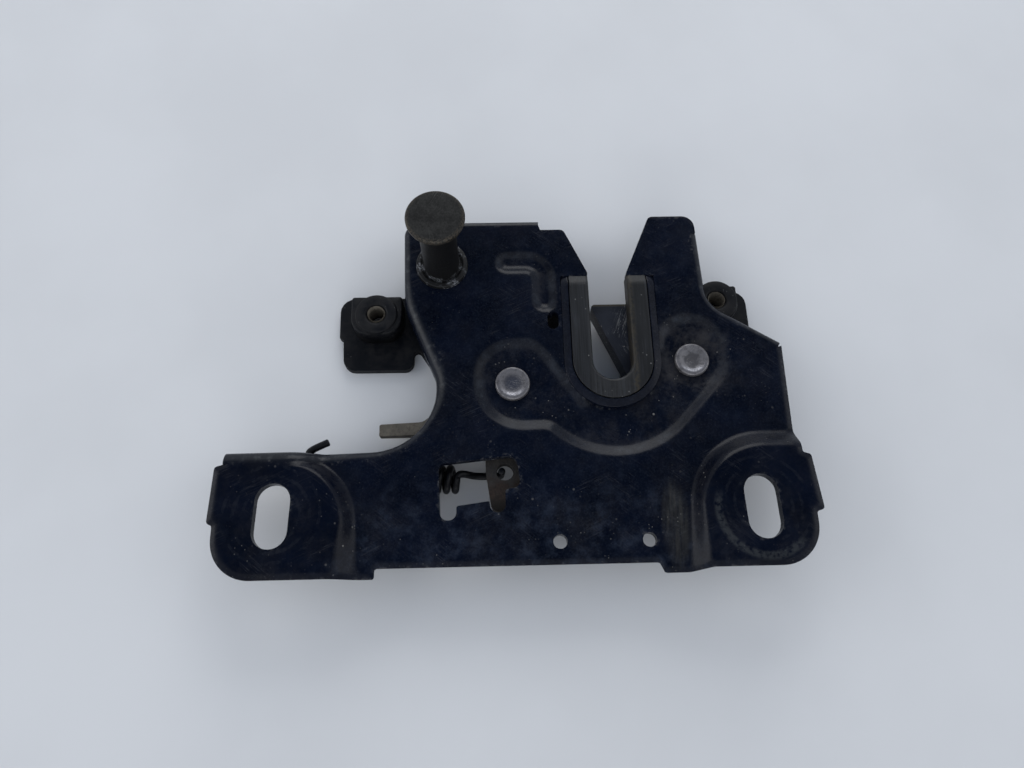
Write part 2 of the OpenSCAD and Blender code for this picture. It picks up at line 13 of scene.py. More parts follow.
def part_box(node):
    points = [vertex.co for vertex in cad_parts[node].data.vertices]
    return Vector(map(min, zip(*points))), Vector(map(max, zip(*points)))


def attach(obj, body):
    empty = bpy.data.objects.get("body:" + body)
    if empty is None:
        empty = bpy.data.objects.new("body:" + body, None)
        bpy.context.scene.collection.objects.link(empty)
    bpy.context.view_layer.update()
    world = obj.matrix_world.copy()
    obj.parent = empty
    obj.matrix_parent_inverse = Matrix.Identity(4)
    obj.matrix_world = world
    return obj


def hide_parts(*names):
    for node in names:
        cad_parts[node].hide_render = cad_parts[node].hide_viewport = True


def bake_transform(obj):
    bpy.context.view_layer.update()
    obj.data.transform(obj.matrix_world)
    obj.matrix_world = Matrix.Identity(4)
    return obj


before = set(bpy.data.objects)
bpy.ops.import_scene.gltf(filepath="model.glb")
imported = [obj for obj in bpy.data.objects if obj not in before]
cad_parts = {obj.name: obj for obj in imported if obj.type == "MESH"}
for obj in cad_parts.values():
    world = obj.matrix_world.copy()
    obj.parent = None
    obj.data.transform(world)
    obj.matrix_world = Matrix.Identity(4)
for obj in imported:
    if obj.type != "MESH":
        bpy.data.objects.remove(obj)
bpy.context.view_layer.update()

bl_info = {
    "name": "Bonnet latch",
    "version": (1, 0, 0),
    "blender": (4, 5, 0),
    "location": "View3D > Sidebar > Latch",
    "description": "Builds the looks of a bonnet latch round its construction model",
    "category": "Object",
}

MM = 0.001

# Levels in millimetres, downwards from the front of the mounting pads
PANEL = -4.0
PAN = -5.6
REAR = -14.7
# The floor lies under the rear plate; this level is in metres
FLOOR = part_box("rear_plate")[0][2]

# Places in millimetres
CATCH_AXIS = np.array([47.2, 40.1])
PAWL_AXIS = np.array([-0.6, 34.3])
SLOT_FOOT = np.array([26.0, 40.0])
STUD_FOOT = np.array([-19.2, 68.7])
# Ears: place of the thread, width of the nut and reach of its square side
EARS = {"left_ear_nut": ((-37.4, 56.2), 13.8, 5.4), "right_ear_nut": ((56.7, 58.9), 11.8, 4.4)}
MOUNT_X = 59.5
WING_X = 73.5
PLATE_TOP = 83.0
NECK_LEFT = -29.4
PRONG_RIGHT = 52.6
SLOT_HALF = 5.3
LINER_TOP = 65.0
SEAT_HALF = SLOT_HALF + 7.6
LINER_RAMP = 2.6
PIERCED = np.array([10.7, 51.9])

# Holes: half width of each slot and reach of its end circles, lean of the mounting slots in degrees
BOLT_SLOT = (4.3, 3.6)
BOLT_LEAN = 2
PIERCED_SLOT = (1.5, 1.1)
ROUND_HOLES = ((10, -7), (31.9, -7))
ROUND_HOLE_R = 1.75

# Meshes: radius that stands for the axis of turned profiles, reaches of merged points, angles in degrees
AXIS_R = 0.001
CLOSE_MERGE = 0.002
SHEET_MERGE = 0.01
NODE_MERGE = 0.001
FLAT_ANGLE = 0.5
NODE_CORNER = 34
SHEET_CORNER = 50
BEVEL_SEGMENTS = 3


def length_property(name, text, size):
    """A length, given in millimetres."""
    return FloatProperty(name=name, description=text, default=size * MM, unit="LENGTH")


def colour_property(name, text, *colour):
    """A linear colour."""
    return FloatVectorProperty(name=name, description=text, subtype="COLOR", default=colour)


class LatchSizes(bpy.types.PropertyGroup):
    """Sizes that shape the dressed pieces"""

    sheet: length_property("Sheet", "Thickness of the front plate", 2.5)
    bend: length_property("Bend", "Least outside radius of the edge flanges", 2.0)
    rim: length_property("Rim", "Rounding of the sheet's cut edges", 0.35)
    grid: length_property("Grid", "Spacing of the plate's points", 0.75)
    pad_rise: length_property("Pad rise", "Height of the mounting pads", 4.0)
    pan_depth: length_property("Pan depth", "Depth of the pressed pan", 1.6)
    wire: length_property("Wire", "Wire radius of the pawl's spring", 0.95)
    pitch: length_property("Pitch", "Pitch of the ear threads", 1.0)


class LatchFinish(bpy.types.PropertyGroup):
    """Colours of the finishes"""

    coat: colour_property("Coat", "Dip coat of the front plate", 0.0006, 0.0014, 0.0046)
    liner: colour_property("Liner", "Plastic of the slot liner", 0.0058, 0.0066, 0.0082)
    matte: colour_property("Matte black", "Paint of the rear plate and nuts", 0.0012, 0.0018, 0.0034)
    stud: colour_property("Stud", "Worn steel of the safety stud", 0.012, 0.0120, 0.0112)
    rivet: colour_property("Rivet", "Bare steel of the rivet heads", 0.15, 0.145, 0.152)
    rust: colour_property("Rust", "Rust of the pawl", 0.028, 0.016, 0.011)
    zinc: colour_property("Zinc", "Aged zinc of the release lever", 0.100, 0.088, 0.070)
    dust: colour_property("Dust", "Dried dirt", 0.075, 0.07, 0.068)
    floor: colour_property("Floor", "Plain pale floor", 0.58, 0.59, 0.605)


# Curves in the plane

def corner_arc(before, at, after, radius, count):
    """Points on the arc of that radius that touches both sides of the corner."""
    u = (before - at) / np.linalg.norm(before - at)
    v = (after - at) / np.linalg.norm(after - at)
    half = math.acos(float(np.clip(u @ v, -1, 1))) / 2
    centre = at + (u + v) / np.linalg.norm(u + v) * radius / math.sin(half)
    start, end = at + u * radius / math.tan(half) - centre, at + v * radius / math.tan(half) - centre
    swing = math.atan2(start[0] * end[1] - start[1] * end[0], float(start @ end))
    turn = math.atan2(start[1], start[0]) + swing * np.linspace(0, 1, count)
    return centre + radius * np.c_[np.cos(turn), np.sin(turn)]


def rounded_path(knots, closed=False):
    """Straight runs joined by arcs: each knot is x, y and the radius of its corner."""
    points = np.array([k[:2] for k in knots], float)
    n = len(points)
    parts = []
    for i, (_, _, radius) in enumerate(knots):
        if radius == 0 or (not closed and i in (0, n - 1)):
            parts.append(points[i:i + 1])
        else:
            parts.append(corner_arc(points[i - 1], points[i], points[(i + 1) % n], radius, 16))
    return np.concatenate(parts)


def even_path(path, spacing, closed=False):
    """The path again at an even spacing, with its sharp corners kept close."""
    if closed:
        path = np.concatenate([path, path[:1]])
    run = np.r_[0, np.cumsum(np.linalg.norm(np.diff(path, axis=0), axis=1))]
    at = np.linspace(0, run[-1], max(int(run[-1] / spacing), 3) + 1)
    points = np.c_[np.interp(at, run, path[:, 0]), np.interp(at, run, path[:, 1])]
    return points[:-1] if closed else points


def side_of(path):
    """Unit normals on the right hand side of an open path."""
    along = np.gradient(path, axis=0)
    along /= np.linalg.norm(along, axis=1)[:, None]
    return np.c_[along[:, 1], -along[:, 0]]


def circle_path(centre, radius, count=24):
    """A circle as a closed path."""
    turn = np.linspace(0, 2 * np.pi, count, endpoint=False)
    return np.asarray(centre) + radius * np.c_[np.cos(turn), np.sin(turn)]


def distance_to(points, path, closed=False):
    """Distance from each point to the nearest point of a path's straight pieces."""
    a = path if closed else path[:-1]
    b = np.roll(path, -1, axis=0) if closed else path[1:]
    best = np.full(len(points), np.inf)
    for start in range(0, len(a), 60):
        p, q = a[start:start + 60], b[start:start + 60]
        d = q - p
        t = np.einsum("nkj,kj->nk", points[:, None] - p, d) / np.maximum((d * d).sum(1), 1e-12)
        near = p + np.clip(t, 0, 1)[..., None] * d
        best = np.minimum(best, np.linalg.norm(points[:, None] - near, axis=2).min(1))
    return best


def smooth(t):
    """0 below 0, 1 above 1 and an S curve between."""
    t = np.clip(t, 0, 1)
    return t * t * (3 - 2 * t)


# Surfaces

def grid_faces(rows, columns, wrap=False):
    """Quads of a grid of rows by columns; wrap joins the last column to the first."""
    i, j = np.meshgrid(np.arange(rows - 1), np.arange(columns if wrap else columns - 1), indexing="ij")
    k = (j + 1) % columns
    corners = [i * columns + j, i * columns + k, (i + 1) * columns + k, (i + 1) * columns + j]
    return np.stack(corners, -1).reshape(-1, 4)


def add_piece(name, mesh, finish, body, nodes=()):
    """Links a mesh with its finish as a piece that stands for CAD nodes and rides on a body, if any."""
    mesh.shade_smooth()
    mesh.materials.clear()
    mesh.materials.append(finish)
    piece = bpy.data.objects.new(name, mesh)
    bpy.context.collection.objects.link(piece)
    if body:
        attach(piece, body)
    if nodes:
        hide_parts(*nodes)
    return piece


def new_piece(name, points, faces, finish, body, nodes=()):
    """A piece made of points in millimetres and faces."""
    mesh = bpy.data.meshes.new(name)
    mesh.from_pydata((np.asarray(points) * MM).tolist(), [], [list(map(int, f)) for f in faces])
    mesh.validate()
    return add_piece(name, mesh, finish, body, nodes)


def merge_points(mesh, reach, outwards=False):
    """Merges points within a reach in millimetres, and turns the faces of a closed mesh outwards if asked."""
    work = bmesh.new()
    work.from_mesh(mesh)
    bmesh.ops.remove_doubles(work, verts=work.verts, dist=reach * MM)
    if outwards:
        bmesh.ops.recalc_face_normals(work, faces=work.faces)
    work.to_mesh(mesh)
    work.free()


def closed_piece(name, points, faces, finish, body, nodes=(), sharp=None):
    """A closed piece that faces outwards; edges that turn more than sharp, in degrees, stay sharp."""
    piece = new_piece(name, points, faces, finish, body, nodes)
    merge_points(piece.data, CLOSE_MERGE, outwards=True)
    if sharp:
        piece.data.set_sharp_from_angle(angle=math.radians(sharp))
    return piece


def turned(profile, centre, count=96):
    """A profile of radius and height carried round a vertical axis: x = r cos a, y = r sin a, z = h."""
    turn = np.linspace(0, 2 * np.pi, count, endpoint=False)
    radius, height = np.asarray(profile, float).T
    points = np.stack([centre[0] + radius[:, None] * np.cos(turn), centre[1] + radius[:, None] * np.sin(turn),
                       np.repeat(height[:, None], count, 1)], -1)
    return points.reshape(-1, 3), grid_faces(len(radius), count, wrap=True)


def tube(path, radius, sides=14):
    """A round section carried along a path, on axes moved along without twist; both ends close on a point."""
    along = np.gradient(path, axis=0)
    along /= np.linalg.norm(along, axis=1)[:, None]
    side = np.zeros_like(path)
    u = np.array([0.3, 0.9, 0.2])
    for i, d in enumerate(along):
        u = u - (u @ d) * d
        u /= np.linalg.norm(u)
        side[i] = u
    other = np.cross(along, side)
    turn = np.linspace(0, 2 * np.pi, sides, endpoint=False)
    ring = np.cos(turn)[:, None] * side[:, None] + np.sin(turn)[:, None] * other[:, None]
    body = path[:, None] + radius * ring
    caps = []
    for end, way in ((0, -along[0]), (-1, along[-1])):
        shoulder = path[end] + way * radius * 0.2 + 0.7 * radius * ring[end]
        caps.append((shoulder, path[end] + way * radius * 0.25 + 0 * ring[end]))
    (first, start), (last, stop) = caps
    rows = np.concatenate([np.stack([start, first]), body, np.stack([last, stop])])
    return rows.reshape(-1, 3), grid_faces(len(rows), sides, wrap=True)


def bevelled_copy(node, width, finish, body):
    """A copy of a CAD node with its flat faces joined and its edges rounded by a Bevel modifier."""
    work = bmesh.new()
    work.from_mesh(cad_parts[node].data)
    bmesh.ops.remove_doubles(work, verts=work.verts, dist=NODE_MERGE * MM)
    bmesh.ops.dissolve_limit(work, angle_limit=math.radians(FLAT_ANGLE), verts=work.verts, edges=work.edges)
    mesh = bpy.data.meshes.new(node + "_finished")
    work.to_mesh(mesh)
    work.free()
    piece = add_piece(node + "_finished", mesh, finish, body, [node])
    round_edges(piece, width * MM, NODE_CORNER)
    return piece


def round_edges(piece, width, angle):
    """Rounds edges sharper than the angle in degrees and weighs the normals towards the large faces."""
    bevel = piece.modifiers.new("Rounded edges", "BEVEL")
    bevel.width = width
    bevel.segments = BEVEL_SEGMENTS
    bevel.limit_method = "ANGLE"
    bevel.angle_limit = math.radians(angle)
    bevel.use_clamp_overlap = True
    weigh = piece.modifiers.new("Weighed normals", "WEIGHTED_NORMAL")
    weigh.keep_sharp = True


# Finishes

class Tone:
    """A socket of a material's nodes that takes part in Python sums; each sum adds a Math node."""

    def __init__(self, tree, socket=None):
        self.tree = tree
        self.socket = socket

    def add(self, kind, settings=None, inputs=None, out=0):
        """Makes a node of that kind, sets it up, feeds its sockets and gives back one of its outputs."""
        node = self.tree.nodes.new(kind)
        for key, value in (settings or {}).items():
            setattr(node, key, value)
        for key, value in (inputs or {}).items():
            if isinstance(value, Tone):
                self.tree.links.new(value.socket, node.inputs[key])
            else:
                node.inputs[key].default_value = value
        return Tone(self.tree, node.outputs[out])

    def sum(self, operation, first, second):
        return self.add("ShaderNodeMath", {"operation": operation}, {0: first, 1: second})

    def __add__(self, other):
        return self.sum("ADD", self, other)

    def __mul__(self, other):
        return self.sum("MULTIPLY", self, other)

    def __sub__(self, other):
        return self.sum("SUBTRACT", self, other)

    def __rsub__(self, other):
        return self.sum("SUBTRACT", other, self)

    def __or__(self, other):
        return self.sum("MAXIMUM", self, other)

    def root(self):
        return self.add("ShaderNodeMath", {"operation": "SQRT"}, {0: self})

    def sine(self):
        return self.add("ShaderNodeMath", {"operation": "SINE"}, {0: self})

    def between(self, low, high):
        """0 at low, 1 at high, smooth and clamped."""
        return self.add("ShaderNodeMapRange", {"interpolation_type": "SMOOTHSTEP"},
                        {"Value": self, "From Min": low, "From Max": high})

    def blend(self, first, second):
        """First colour where this is 0, second where it is 1."""
        return self.add("ShaderNodeMix", {"data_type": "RGBA"}, {0: self, 6: first, 7: second}, out=2)


def rgba(colour, gain=1.0):
    """A colour as the four numbers that a socket takes."""
    return tuple(c * gain for c in colour[:3]) + (1.0,)


class Finish:
    """A material with its place on the piece in millimetres, and the patterns that the finishes share."""

    def __init__(self, name):
        self.material = bpy.data.materials.new(name)
        self.material.use_nodes = True
        self.tree = self.material.node_tree
        self.shader = self.tree.nodes["Principled BSDF"]
        self.base = Tone(self.tree)
        place = self.base.add("ShaderNodeTexCoord", out=3)
        self.place = self.base.add("ShaderNodeVectorMath", {"operation": "SCALE"}, {0: place, 3: 1000.0})
        self.axes = [self.base.add("ShaderNodeSeparateXYZ", None, {0: self.place}, out=i) for i in range(3)]

    def noise(self, size, detail=4.0, rough=0.55, place=None, seed=0.0):
        """Cloudy noise with blobs of about that size in millimetres."""
        return self.base.add("ShaderNodeTexNoise", {"noise_dimensions": "4D"},
                             {"Vector": place or self.place, "W": seed, "Scale": 1.0 / size, "Detail": detail,
                              "Roughness": rough})

    def stretched(self, turn, size, length, seed=0.0):
        """Noise drawn out along one direction in the plate's plane, for scratches and streaks."""
        place = self.base.add("ShaderNodeMapping", {"vector_type": "TEXTURE"},
                              {"Vector": self.place, "Rotation": (0, 0, math.radians(turn)),
                               "Scale": (length / size, 1.0, 1.0)})
        return self.noise(size, 2.0, 0.5, place, seed)

    def specks(self, size, share, seed=0.0):
        """Round specks: 1 inside a cell's spot, for the given share of the cells."""
        shift = (seed, 2 * seed, 3 * seed)
        moved = self.base.add("ShaderNodeVectorMath", {"operation": "ADD"}, {0: self.place, 1: shift})
        cell = {"Vector": moved, "Scale": 1.0 / size, "Randomness": 1.0}
        spot = self.base.add("ShaderNodeTexVoronoi", None, cell).between(0.22, 0.12)
        pick = self.base.add("ShaderNodeTexVoronoi", None, cell, out=1)
        chance = self.base.add("ShaderNodeSeparateColor", None, {0: pick})
        return spot * chance.between(share + 0.01, share - 0.01)

    def reach(self, centre, axes=(0, 1)):
        """Distance in millimetres from a line through centre along the left out axis."""
        a = self.axes[axes[0]] - centre[0]
        b = self.axes[axes[1]] - centre[1]
        return (a * a + b * b).root()

    def attribute(self, name):
        """A number carried by the mesh's points."""
        return self.base.add("ShaderNodeAttribute", {"attribute_name": name}, out=2)

    def done(self, colour, roughness, metallic=0.0, bump=None, depth=0.05, shine=0.5):
        """Feeds the shader; depth is the bump's height in millimetres, shine the level of reflection."""
        self.shader.inputs["Specular IOR Level"].default_value = shine
        for key, value in (("Base Color", colour), ("Roughness", roughness), ("Metallic", metallic)):
            socket = self.shader.inputs[key]
            if isinstance(value, Tone):
                self.tree.links.new(value.socket, socket)
            else:
                socket.default_value = value
        if bump is not None:
            relief = {"Strength": 1.0, "Distance": depth * MM, "Height": bump}
            normal = self.base.add("ShaderNodeBump", None, relief)
            self.tree.links.new(normal.socket, self.shader.inputs["Normal"])
        return self.material


def hairlines(finish, turn, size, length, seed):
    """Thin broken scratches that run about one way."""
    drawn = finish.stretched(turn, size, length, seed) - 0.5
    runs = finish.noise(9.0, 2.0, 0.5, seed=seed + 4).between(0.52, 0.66)
    return (drawn * drawn).between(0.00012, 0.0) * runs


def dip_coat(colours):
    """Deep blue black dip coat: dust and grit in the pressings, washer prints round the slots, worn rims,
    painted sheen on the pressed walls and a painted highlight with scuffs on the bends.
    """
    f = Finish("dip_coat")
    cloud = f.noise(14.0, 5.0, 0.6)
    fine = f.noise(1.1, 5.0, 0.65, seed=3.0)
    grain = f.noise(0.45, 3.0, 0.7, seed=30.0).between(0.45, 0.75)
    haze = f.noise(4.5, 6.0, 0.72, seed=50.0).between(0.44, 0.74)
    hollow, rim, wall = f.attribute("hollow"), f.attribute("rim"), f.attribute("wall")
    pivot = f.reach(CATCH_AXIS).between(17.0, 6.0)
    low = f.axes[1].between(14.0, -4.0)
    pads = f.reach((-MOUNT_X, 0)).between(24.0, 15.0) | f.reach((MOUNT_X, 0)).between(22.0, 14.0)
    clear = 1.0 - pads * 0.85

    # Dust: a bluish haze, a brown film in the pressings and one dirty patch beside the right pad
    film = (f.noise(8.0, 6.0, 0.7, seed=7.0) + fine * 0.35).between(0.56, 0.92)
    across, along = f.axes[0] - 38.6, f.axes[1] + 3.0
    patch = (across * across * 0.07 + along * along * 0.007).between(1.1, 0.2)
    dirt = film * (hollow * 0.25 + pivot * 0.45 + low * 0.10 + 0.10)
    streaks = f.stretched(84.0, 0.8, 9.0, 33.0).between(0.36, 0.62)
    grit = f.noise(7.0, 3.0, 0.6, seed=12.0).between(0.46, 0.64)
    grit = grit * (hollow * 0.6 + pivot * 0.8 + patch * 0.5 + low * 0.3 + 0.12)
    specks = f.specks(0.8, 0.24, 1.0) | f.specks(1.7, 0.12, 5.0)

    # Wear: rings left by the washers, one clear arc on the right pad, scratches and rubbed rims. Also scuffs
    # over the bends, with a painted highlight there
    rubbed = 0.0
    for side in (-1, 1):
        reach = f.reach((side * MOUNT_X, 0.5))
        prints = (reach * 2.6 + cloud * 5.0).sine().between(0.1, 0.9) * reach.between(13.4, 11.5)
        rubbed = prints * f.noise(5.0, 3.0, 0.6, seed=20.0).between(0.42, 0.62) + rubbed
    reach = f.reach((MOUNT_X + 0.3, -0.6)) + fine * 1.2
    sector = ((MOUNT_X - f.axes[0]) * 0.6 - f.axes[1]).between(1.5, 5.5)
    arc = reach.between(10.6, 11.6) * reach.between(13.4, 12.4) * sector * fine.between(0.34, 0.56)
    scratches = hairlines(f, 24.0, 0.5, 30.0, 11.0) | hairlines(f, -38.0, 0.45, 24.0, 17.0)
    worn = rim * fine.between(0.50, 0.62) * cloud.between(0.45, 0.6)
    # Painted highlight on the inner start of each bent edge, broken up by noisy scuffs
    bent = f.attribute("bent") * (f.noise(2.2, 4.0, 0.65, seed=40.0).between(0.50, 0.72) * 0.7 + 0.35)

    colour = cloud.between(0.3, 0.75).blend(rgba(colours.coat), rgba(colours.coat, 2.0))
    colour = (grain * clear * 0.14).blend(colour, rgba((0.040, 0.050, 0.070)))
    colour = (haze * clear * (low * 0.50 + 0.16)).blend(colour, rgba((0.022, 0.029, 0.046)))
    # Walls of the pan and bead made lighter: partly painted sheen, partly dust from the haze noise
    colour = (wall * (haze * 0.55 + 0.05)).blend(colour, rgba((0.030, 0.036, 0.046)))
    colour = (dirt * 0.34).blend(colour, rgba(colours.dust))
    colour = (patch * (streaks * 0.22 + haze * 0.30 + 0.12)).blend(colour, rgba((0.056, 0.054, 0.047)))
    colour = (rubbed * fine.between(0.3, 0.7) * 0.10).blend(colour, rgba((0.05, 0.055, 0.065)))
    colour = (arc * 0.6).blend(colour, rgba((0.034, 0.037, 0.040)))
    # Painted highlight with scuffs over the bends
    colour = (bent * 0.75).blend(colour, rgba((0.058, 0.061, 0.065)))
    colour = (scratches * 0.10).blend(colour, rgba((0.16, 0.16, 0.17)))
    colour = (specks * grit * 0.7).blend(colour, rgba((0.28, 0.27, 0.25)))
    colour = (worn * 0.5).blend(colour, rgba((0.10, 0.10, 0.10)))
    roughness = cloud * 0.12 + fine * 0.08 + dirt * 0.4 + rubbed * 0.08 + 0.12
    height = cloud * 0.5 + fine * 0.10 + dirt * 0.3 + specks * grit * 0.4
    return f.done(colour, roughness, bump=height, depth=0.08, shine=0.11)


def liner_plastic(colours):
    """Charcoal plastic: streaks along the slot, a paler rubbed inner edge, brown dirt at the right side."""
    f = Finish("liner_plastic")
    streaks = f.stretched(90.0, 0.5, 14.0, 2.0)
    fine = f.noise(0.8, 4.0, 0.6, seed=5.0)
    across = f.axes[0] - SLOT_FOOT[0]
    scuffs = streaks.between(0.50, 0.68) * f.noise(6.0, 3.0, 0.5, seed=8.0).between(0.38, 0.62)
    inner = f.reach(SLOT_FOOT).between(6.6, 5.3) | (across * across).between(44.0, 30.0)
    brown = across.between(4.4, 5.4) * across.between(7.2, 6.0) * fine.between(0.35, 0.6)
    right = across.between(2.0, 7.0)
    colour = streaks.between(0.34, 0.62).blend(rgba(colours.liner, 0.6), rgba(colours.liner, 1.7))
    colour = (right * 0.6).blend(colour, rgba(colours.liner, 0.4))
    colour = (scuffs * (1.0 - right * 0.6)).blend(colour, rgba(colours.liner, 3.4))
    colour = (inner * fine * 0.5).blend(colour, rgba((0.03, 0.03, 0.03)))
    colour = (brown * 0.6).blend(colour, rgba((0.030, 0.024, 0.014)))
    crumbs = f.specks(0.9, 0.14, 3.0) * fine.between(0.45, 0.6)
    colour = (crumbs * 0.7).blend(colour, rgba((0.2, 0.2, 0.2)))
    height = streaks * 0.5 + fine * 0.3
    return f.done(colour, streaks * 0.2 + fine * 0.1 + 0.36, bump=height, depth=0.05, shine=0.25)


def matte_black(colours):
    """Thin matte paint with grey dust and rubbed places."""
    f = Finish("matte_black")
    cloud, fine = f.noise(5.0, 5.0, 0.65), f.noise(0.7, 4.0, 0.65, seed=4.0)
    dust = (cloud + fine * 0.3).between(0.56, 0.84)
    colour = (dust * 0.16).blend(rgba(colours.matte), rgba(colours.dust, 0.6))
    colour = (f.specks(0.8, 0.12, 2.0) * 0.4).blend(colour, rgba((0.12, 0.12, 0.12)))
    height = cloud * 0.4 + fine * 0.4
    return f.done(colour, dust * 0.2 + fine * 0.12 + 0.42, bump=height, depth=0.06, shine=0.15)


def worn_stud(colours):
    """Dark worn steel: an olive head with scrapes and a brown rim, a black shaft and a scraped collar."""
    f = Finish("worn_stud")
    cloud, fine = f.noise(3.5, 5.0, 0.65), f.noise(0.5, 4.0, 0.6, seed=2.0)
    squeezed = f.base.add("ShaderNodeMapping", None, {"Vector": f.place, "Scale": (0.06, 0.06, 1.0)})
    marks = f.noise(0.4, 2.0, 0.5, squeezed)
    lines = hairlines(f, 62.0, 0.4, 16.0, 3.0) | hairlines(f, 100.0, 0.35, 12.0, 21.0)
    head = f.axes[2].between(18.9, 19.4)
    rim = f.reach(STUD_FOOT).between(6.2, 7.3) * head
    collar = f.axes[2].between(-2.2, -2.6)
    scraped = cloud.between(0.46, 0.62) * fine.between(0.42, 0.62)
    mottle = (cloud * 0.6 + fine * 0.5).between(0.42, 0.70)
    colour = mottle.blend(rgba(colours.stud, 0.4), rgba(colours.stud, 1.9))
    colour = head.blend(rgba((0.0035, 0.0036, 0.004)), colour)
    colour = (rim * fine.between(0.4, 0.6) * 0.6).blend(colour, rgba((0.075, 0.06, 0.042)))
    colour = (collar * scraped * 0.9).blend(colour, rgba((0.22, 0.23, 0.25)))
    colour = (lines * head * 0.5).blend(colour, rgba((0.2, 0.2, 0.19)))
    metallic = head * 0.25 + collar * scraped * 0.4 + 0.1
    height = marks * 0.4 + fine * 0.4 + lines * -0.4 + scraped * collar * 0.8
    return f.done(colour, marks * 0.18 + fine * 0.14 + 0.36, metallic, bump=height, depth=0.05, shine=0.25)


def bare_steel(colours):
    """Bare rivet steel: pinkish grey and mottled, with painted shade in the middle of each dished head, a
    painted highlight on the dish's lower inner rim, fine scratches and small pits.
    """
    f = Finish("bare_steel")
    cloud, fine = f.noise(1.6, 5.0, 0.65), f.noise(0.35, 4.0, 0.6, seed=6.0)
    # middle: painted shade in the middle of each dished head, mixed into the mottled film
    middle = f.reach(PAWL_AXIS).between(3.0, 0.6) | f.reach(CATCH_AXIS).between(3.0, 0.6)
    film = (cloud + middle * 0.30).between(0.42, 0.72)
    pits = f.specks(0.7, 0.2, 4.0)
    lines = hairlines(f, 40.0, 0.3, 9.0, 5.0) | hairlines(f, -15.0, 0.3, 7.0, 13.0)
    # Painted highlight: a crescent on the lower inner rim of each dished head
    crescent_highlight = 0.0
    for axis in (PAWL_AXIS, CATCH_AXIS):
        reach = f.reach(axis)
        ring = reach.between(2.3, 2.9) * reach.between(3.8, 3.4)
        crescent_highlight = ring * (axis[1] - f.axes[1]).between(1.2, 2.8) + crescent_highlight
    blue = f.reach(PAWL_AXIS).between(3.4, 0.8)
    colour = (film * 0.9).blend(rgba(colours.rivet), rgba((0.030, 0.029, 0.034)))
    colour = (blue * 0.85).blend(colour, rgba((0.014, 0.018, 0.034)))
    colour = (crescent_highlight * fine.between(0.3, 0.6) * 0.7).blend(colour, rgba((0.42, 0.42, 0.45)))
    colour = (pits * 0.6).blend(colour, rgba((0.05, 0.04, 0.035)))
    colour = (lines * 0.4).blend(colour, rgba((0.5, 0.49, 0.49)))
    height = cloud * 0.4 + fine * 0.4 - pits * 0.6
    return f.done(colour, film * 0.15 + fine * 0.16 + 0.34, 0.65 - film * 0.35, bump=height)


def catch_paint():
    """Dark paint of the catch with white scratches and an olive rubbed striking edge."""
    f = Finish("catch_paint")
    cloud, fine = f.noise(6.0, 4.0, 0.6), f.noise(0.7, 4.0, 0.6, seed=3.0)
    lines = hairlines(f, 70.0, 0.4, 10.0, 2.0) | hairlines(f, 118.0, 0.35, 12.0, 9.0)
    edge = (f.axes[1] - (CATCH_AXIS[1] + 18.2)).between(-0.9, -0.2)
    colour = cloud.between(0.35, 0.7).blend(rgba((0.0030, 0.0042, 0.0085)), rgba((0.0080, 0.0105, 0.0180)))
    colour = (edge * 0.8).blend(colour, rgba((0.05, 0.042, 0.028)))
    colour = (lines * 0.6).blend(colour, rgba((0.4, 0.4, 0.4)))
    colour = (f.specks(1.5, 0.14, 6.0) * 0.6).blend(colour, rgba((0.34, 0.32, 0.3)))
    height = cloud * 0.4 + fine * 0.2
    return f.done(colour, cloud * 0.2 + fine * 0.1 + 0.25, bump=height, shine=0.3)


def rusty_steel(colours):
    """Brown grey steel that rusts dark red towards its lower end and turns near black at the very end."""
    f = Finish("rusty_steel")
    cloud, fine = f.noise(3.0, 6.0, 0.7), f.noise(0.6, 5.0, 0.7, seed=8.0)
    low = f.axes[1].between(13.0, 5.0)
    rust = (cloud + low * 0.35 + fine * 0.2).between(0.62, 0.92)
    colour = fine.between(0.3, 0.7).blend(rgba((0.018, 0.0165, 0.016)), rgba((0.046, 0.041, 0.036)))
    colour = rust.blend(colour, fine.between(0.35, 0.65).blend(rgba(colours.rust), rgba(colours.rust, 0.4)))
    # Near black below y 5.6 mm, darker towards the bottom
    colour = (f.axes[1].between(5.6, 3.2) * 0.85).blend(colour, rgba(colours.rust, 0.15))
    height = cloud * 0.4 + fine * 0.6
    return f.done(colour, rust * 0.3 + fine * 0.15 + 0.45, 0.35 - rust * 0.3, bump=height, depth=0.08)


def aged_zinc(colours):
    """Olive grey aged zinc with white bloom and dark stains."""
    f = Finish("aged_zinc")
    cloud, fine = f.noise(4.0, 5.0, 0.65), f.noise(0.6, 4.0, 0.65, seed=2.0)
    colour = cloud.between(0.35, 0.7).blend(rgba(colours.zinc, 0.7), rgba(colours.zinc, 1.35))
    colour = (fine.between(0.50, 0.66) * 0.7).blend(colour, rgba((0.045, 0.038, 0.028)))
    return f.done(colour, cloud * 0.2 + fine * 0.15 + 0.4, 0.3, bump=cloud * 0.3 + fine * 0.5, depth=0.05)


def black_wire(colours):
    """Oiled black spring wire with patches of dust."""
    f = Finish("black_wire")
    fine = f.noise(0.7, 4.0, 0.65)
    colour = (fine.between(0.5, 0.8) * 0.25).blend(rgba(colours.matte, 0.8), rgba((0.05, 0.045, 0.04)))
    return f.done(colour, fine * 0.25 + 0.3, bump=fine, depth=0.03, shine=0.2)


# Front plate

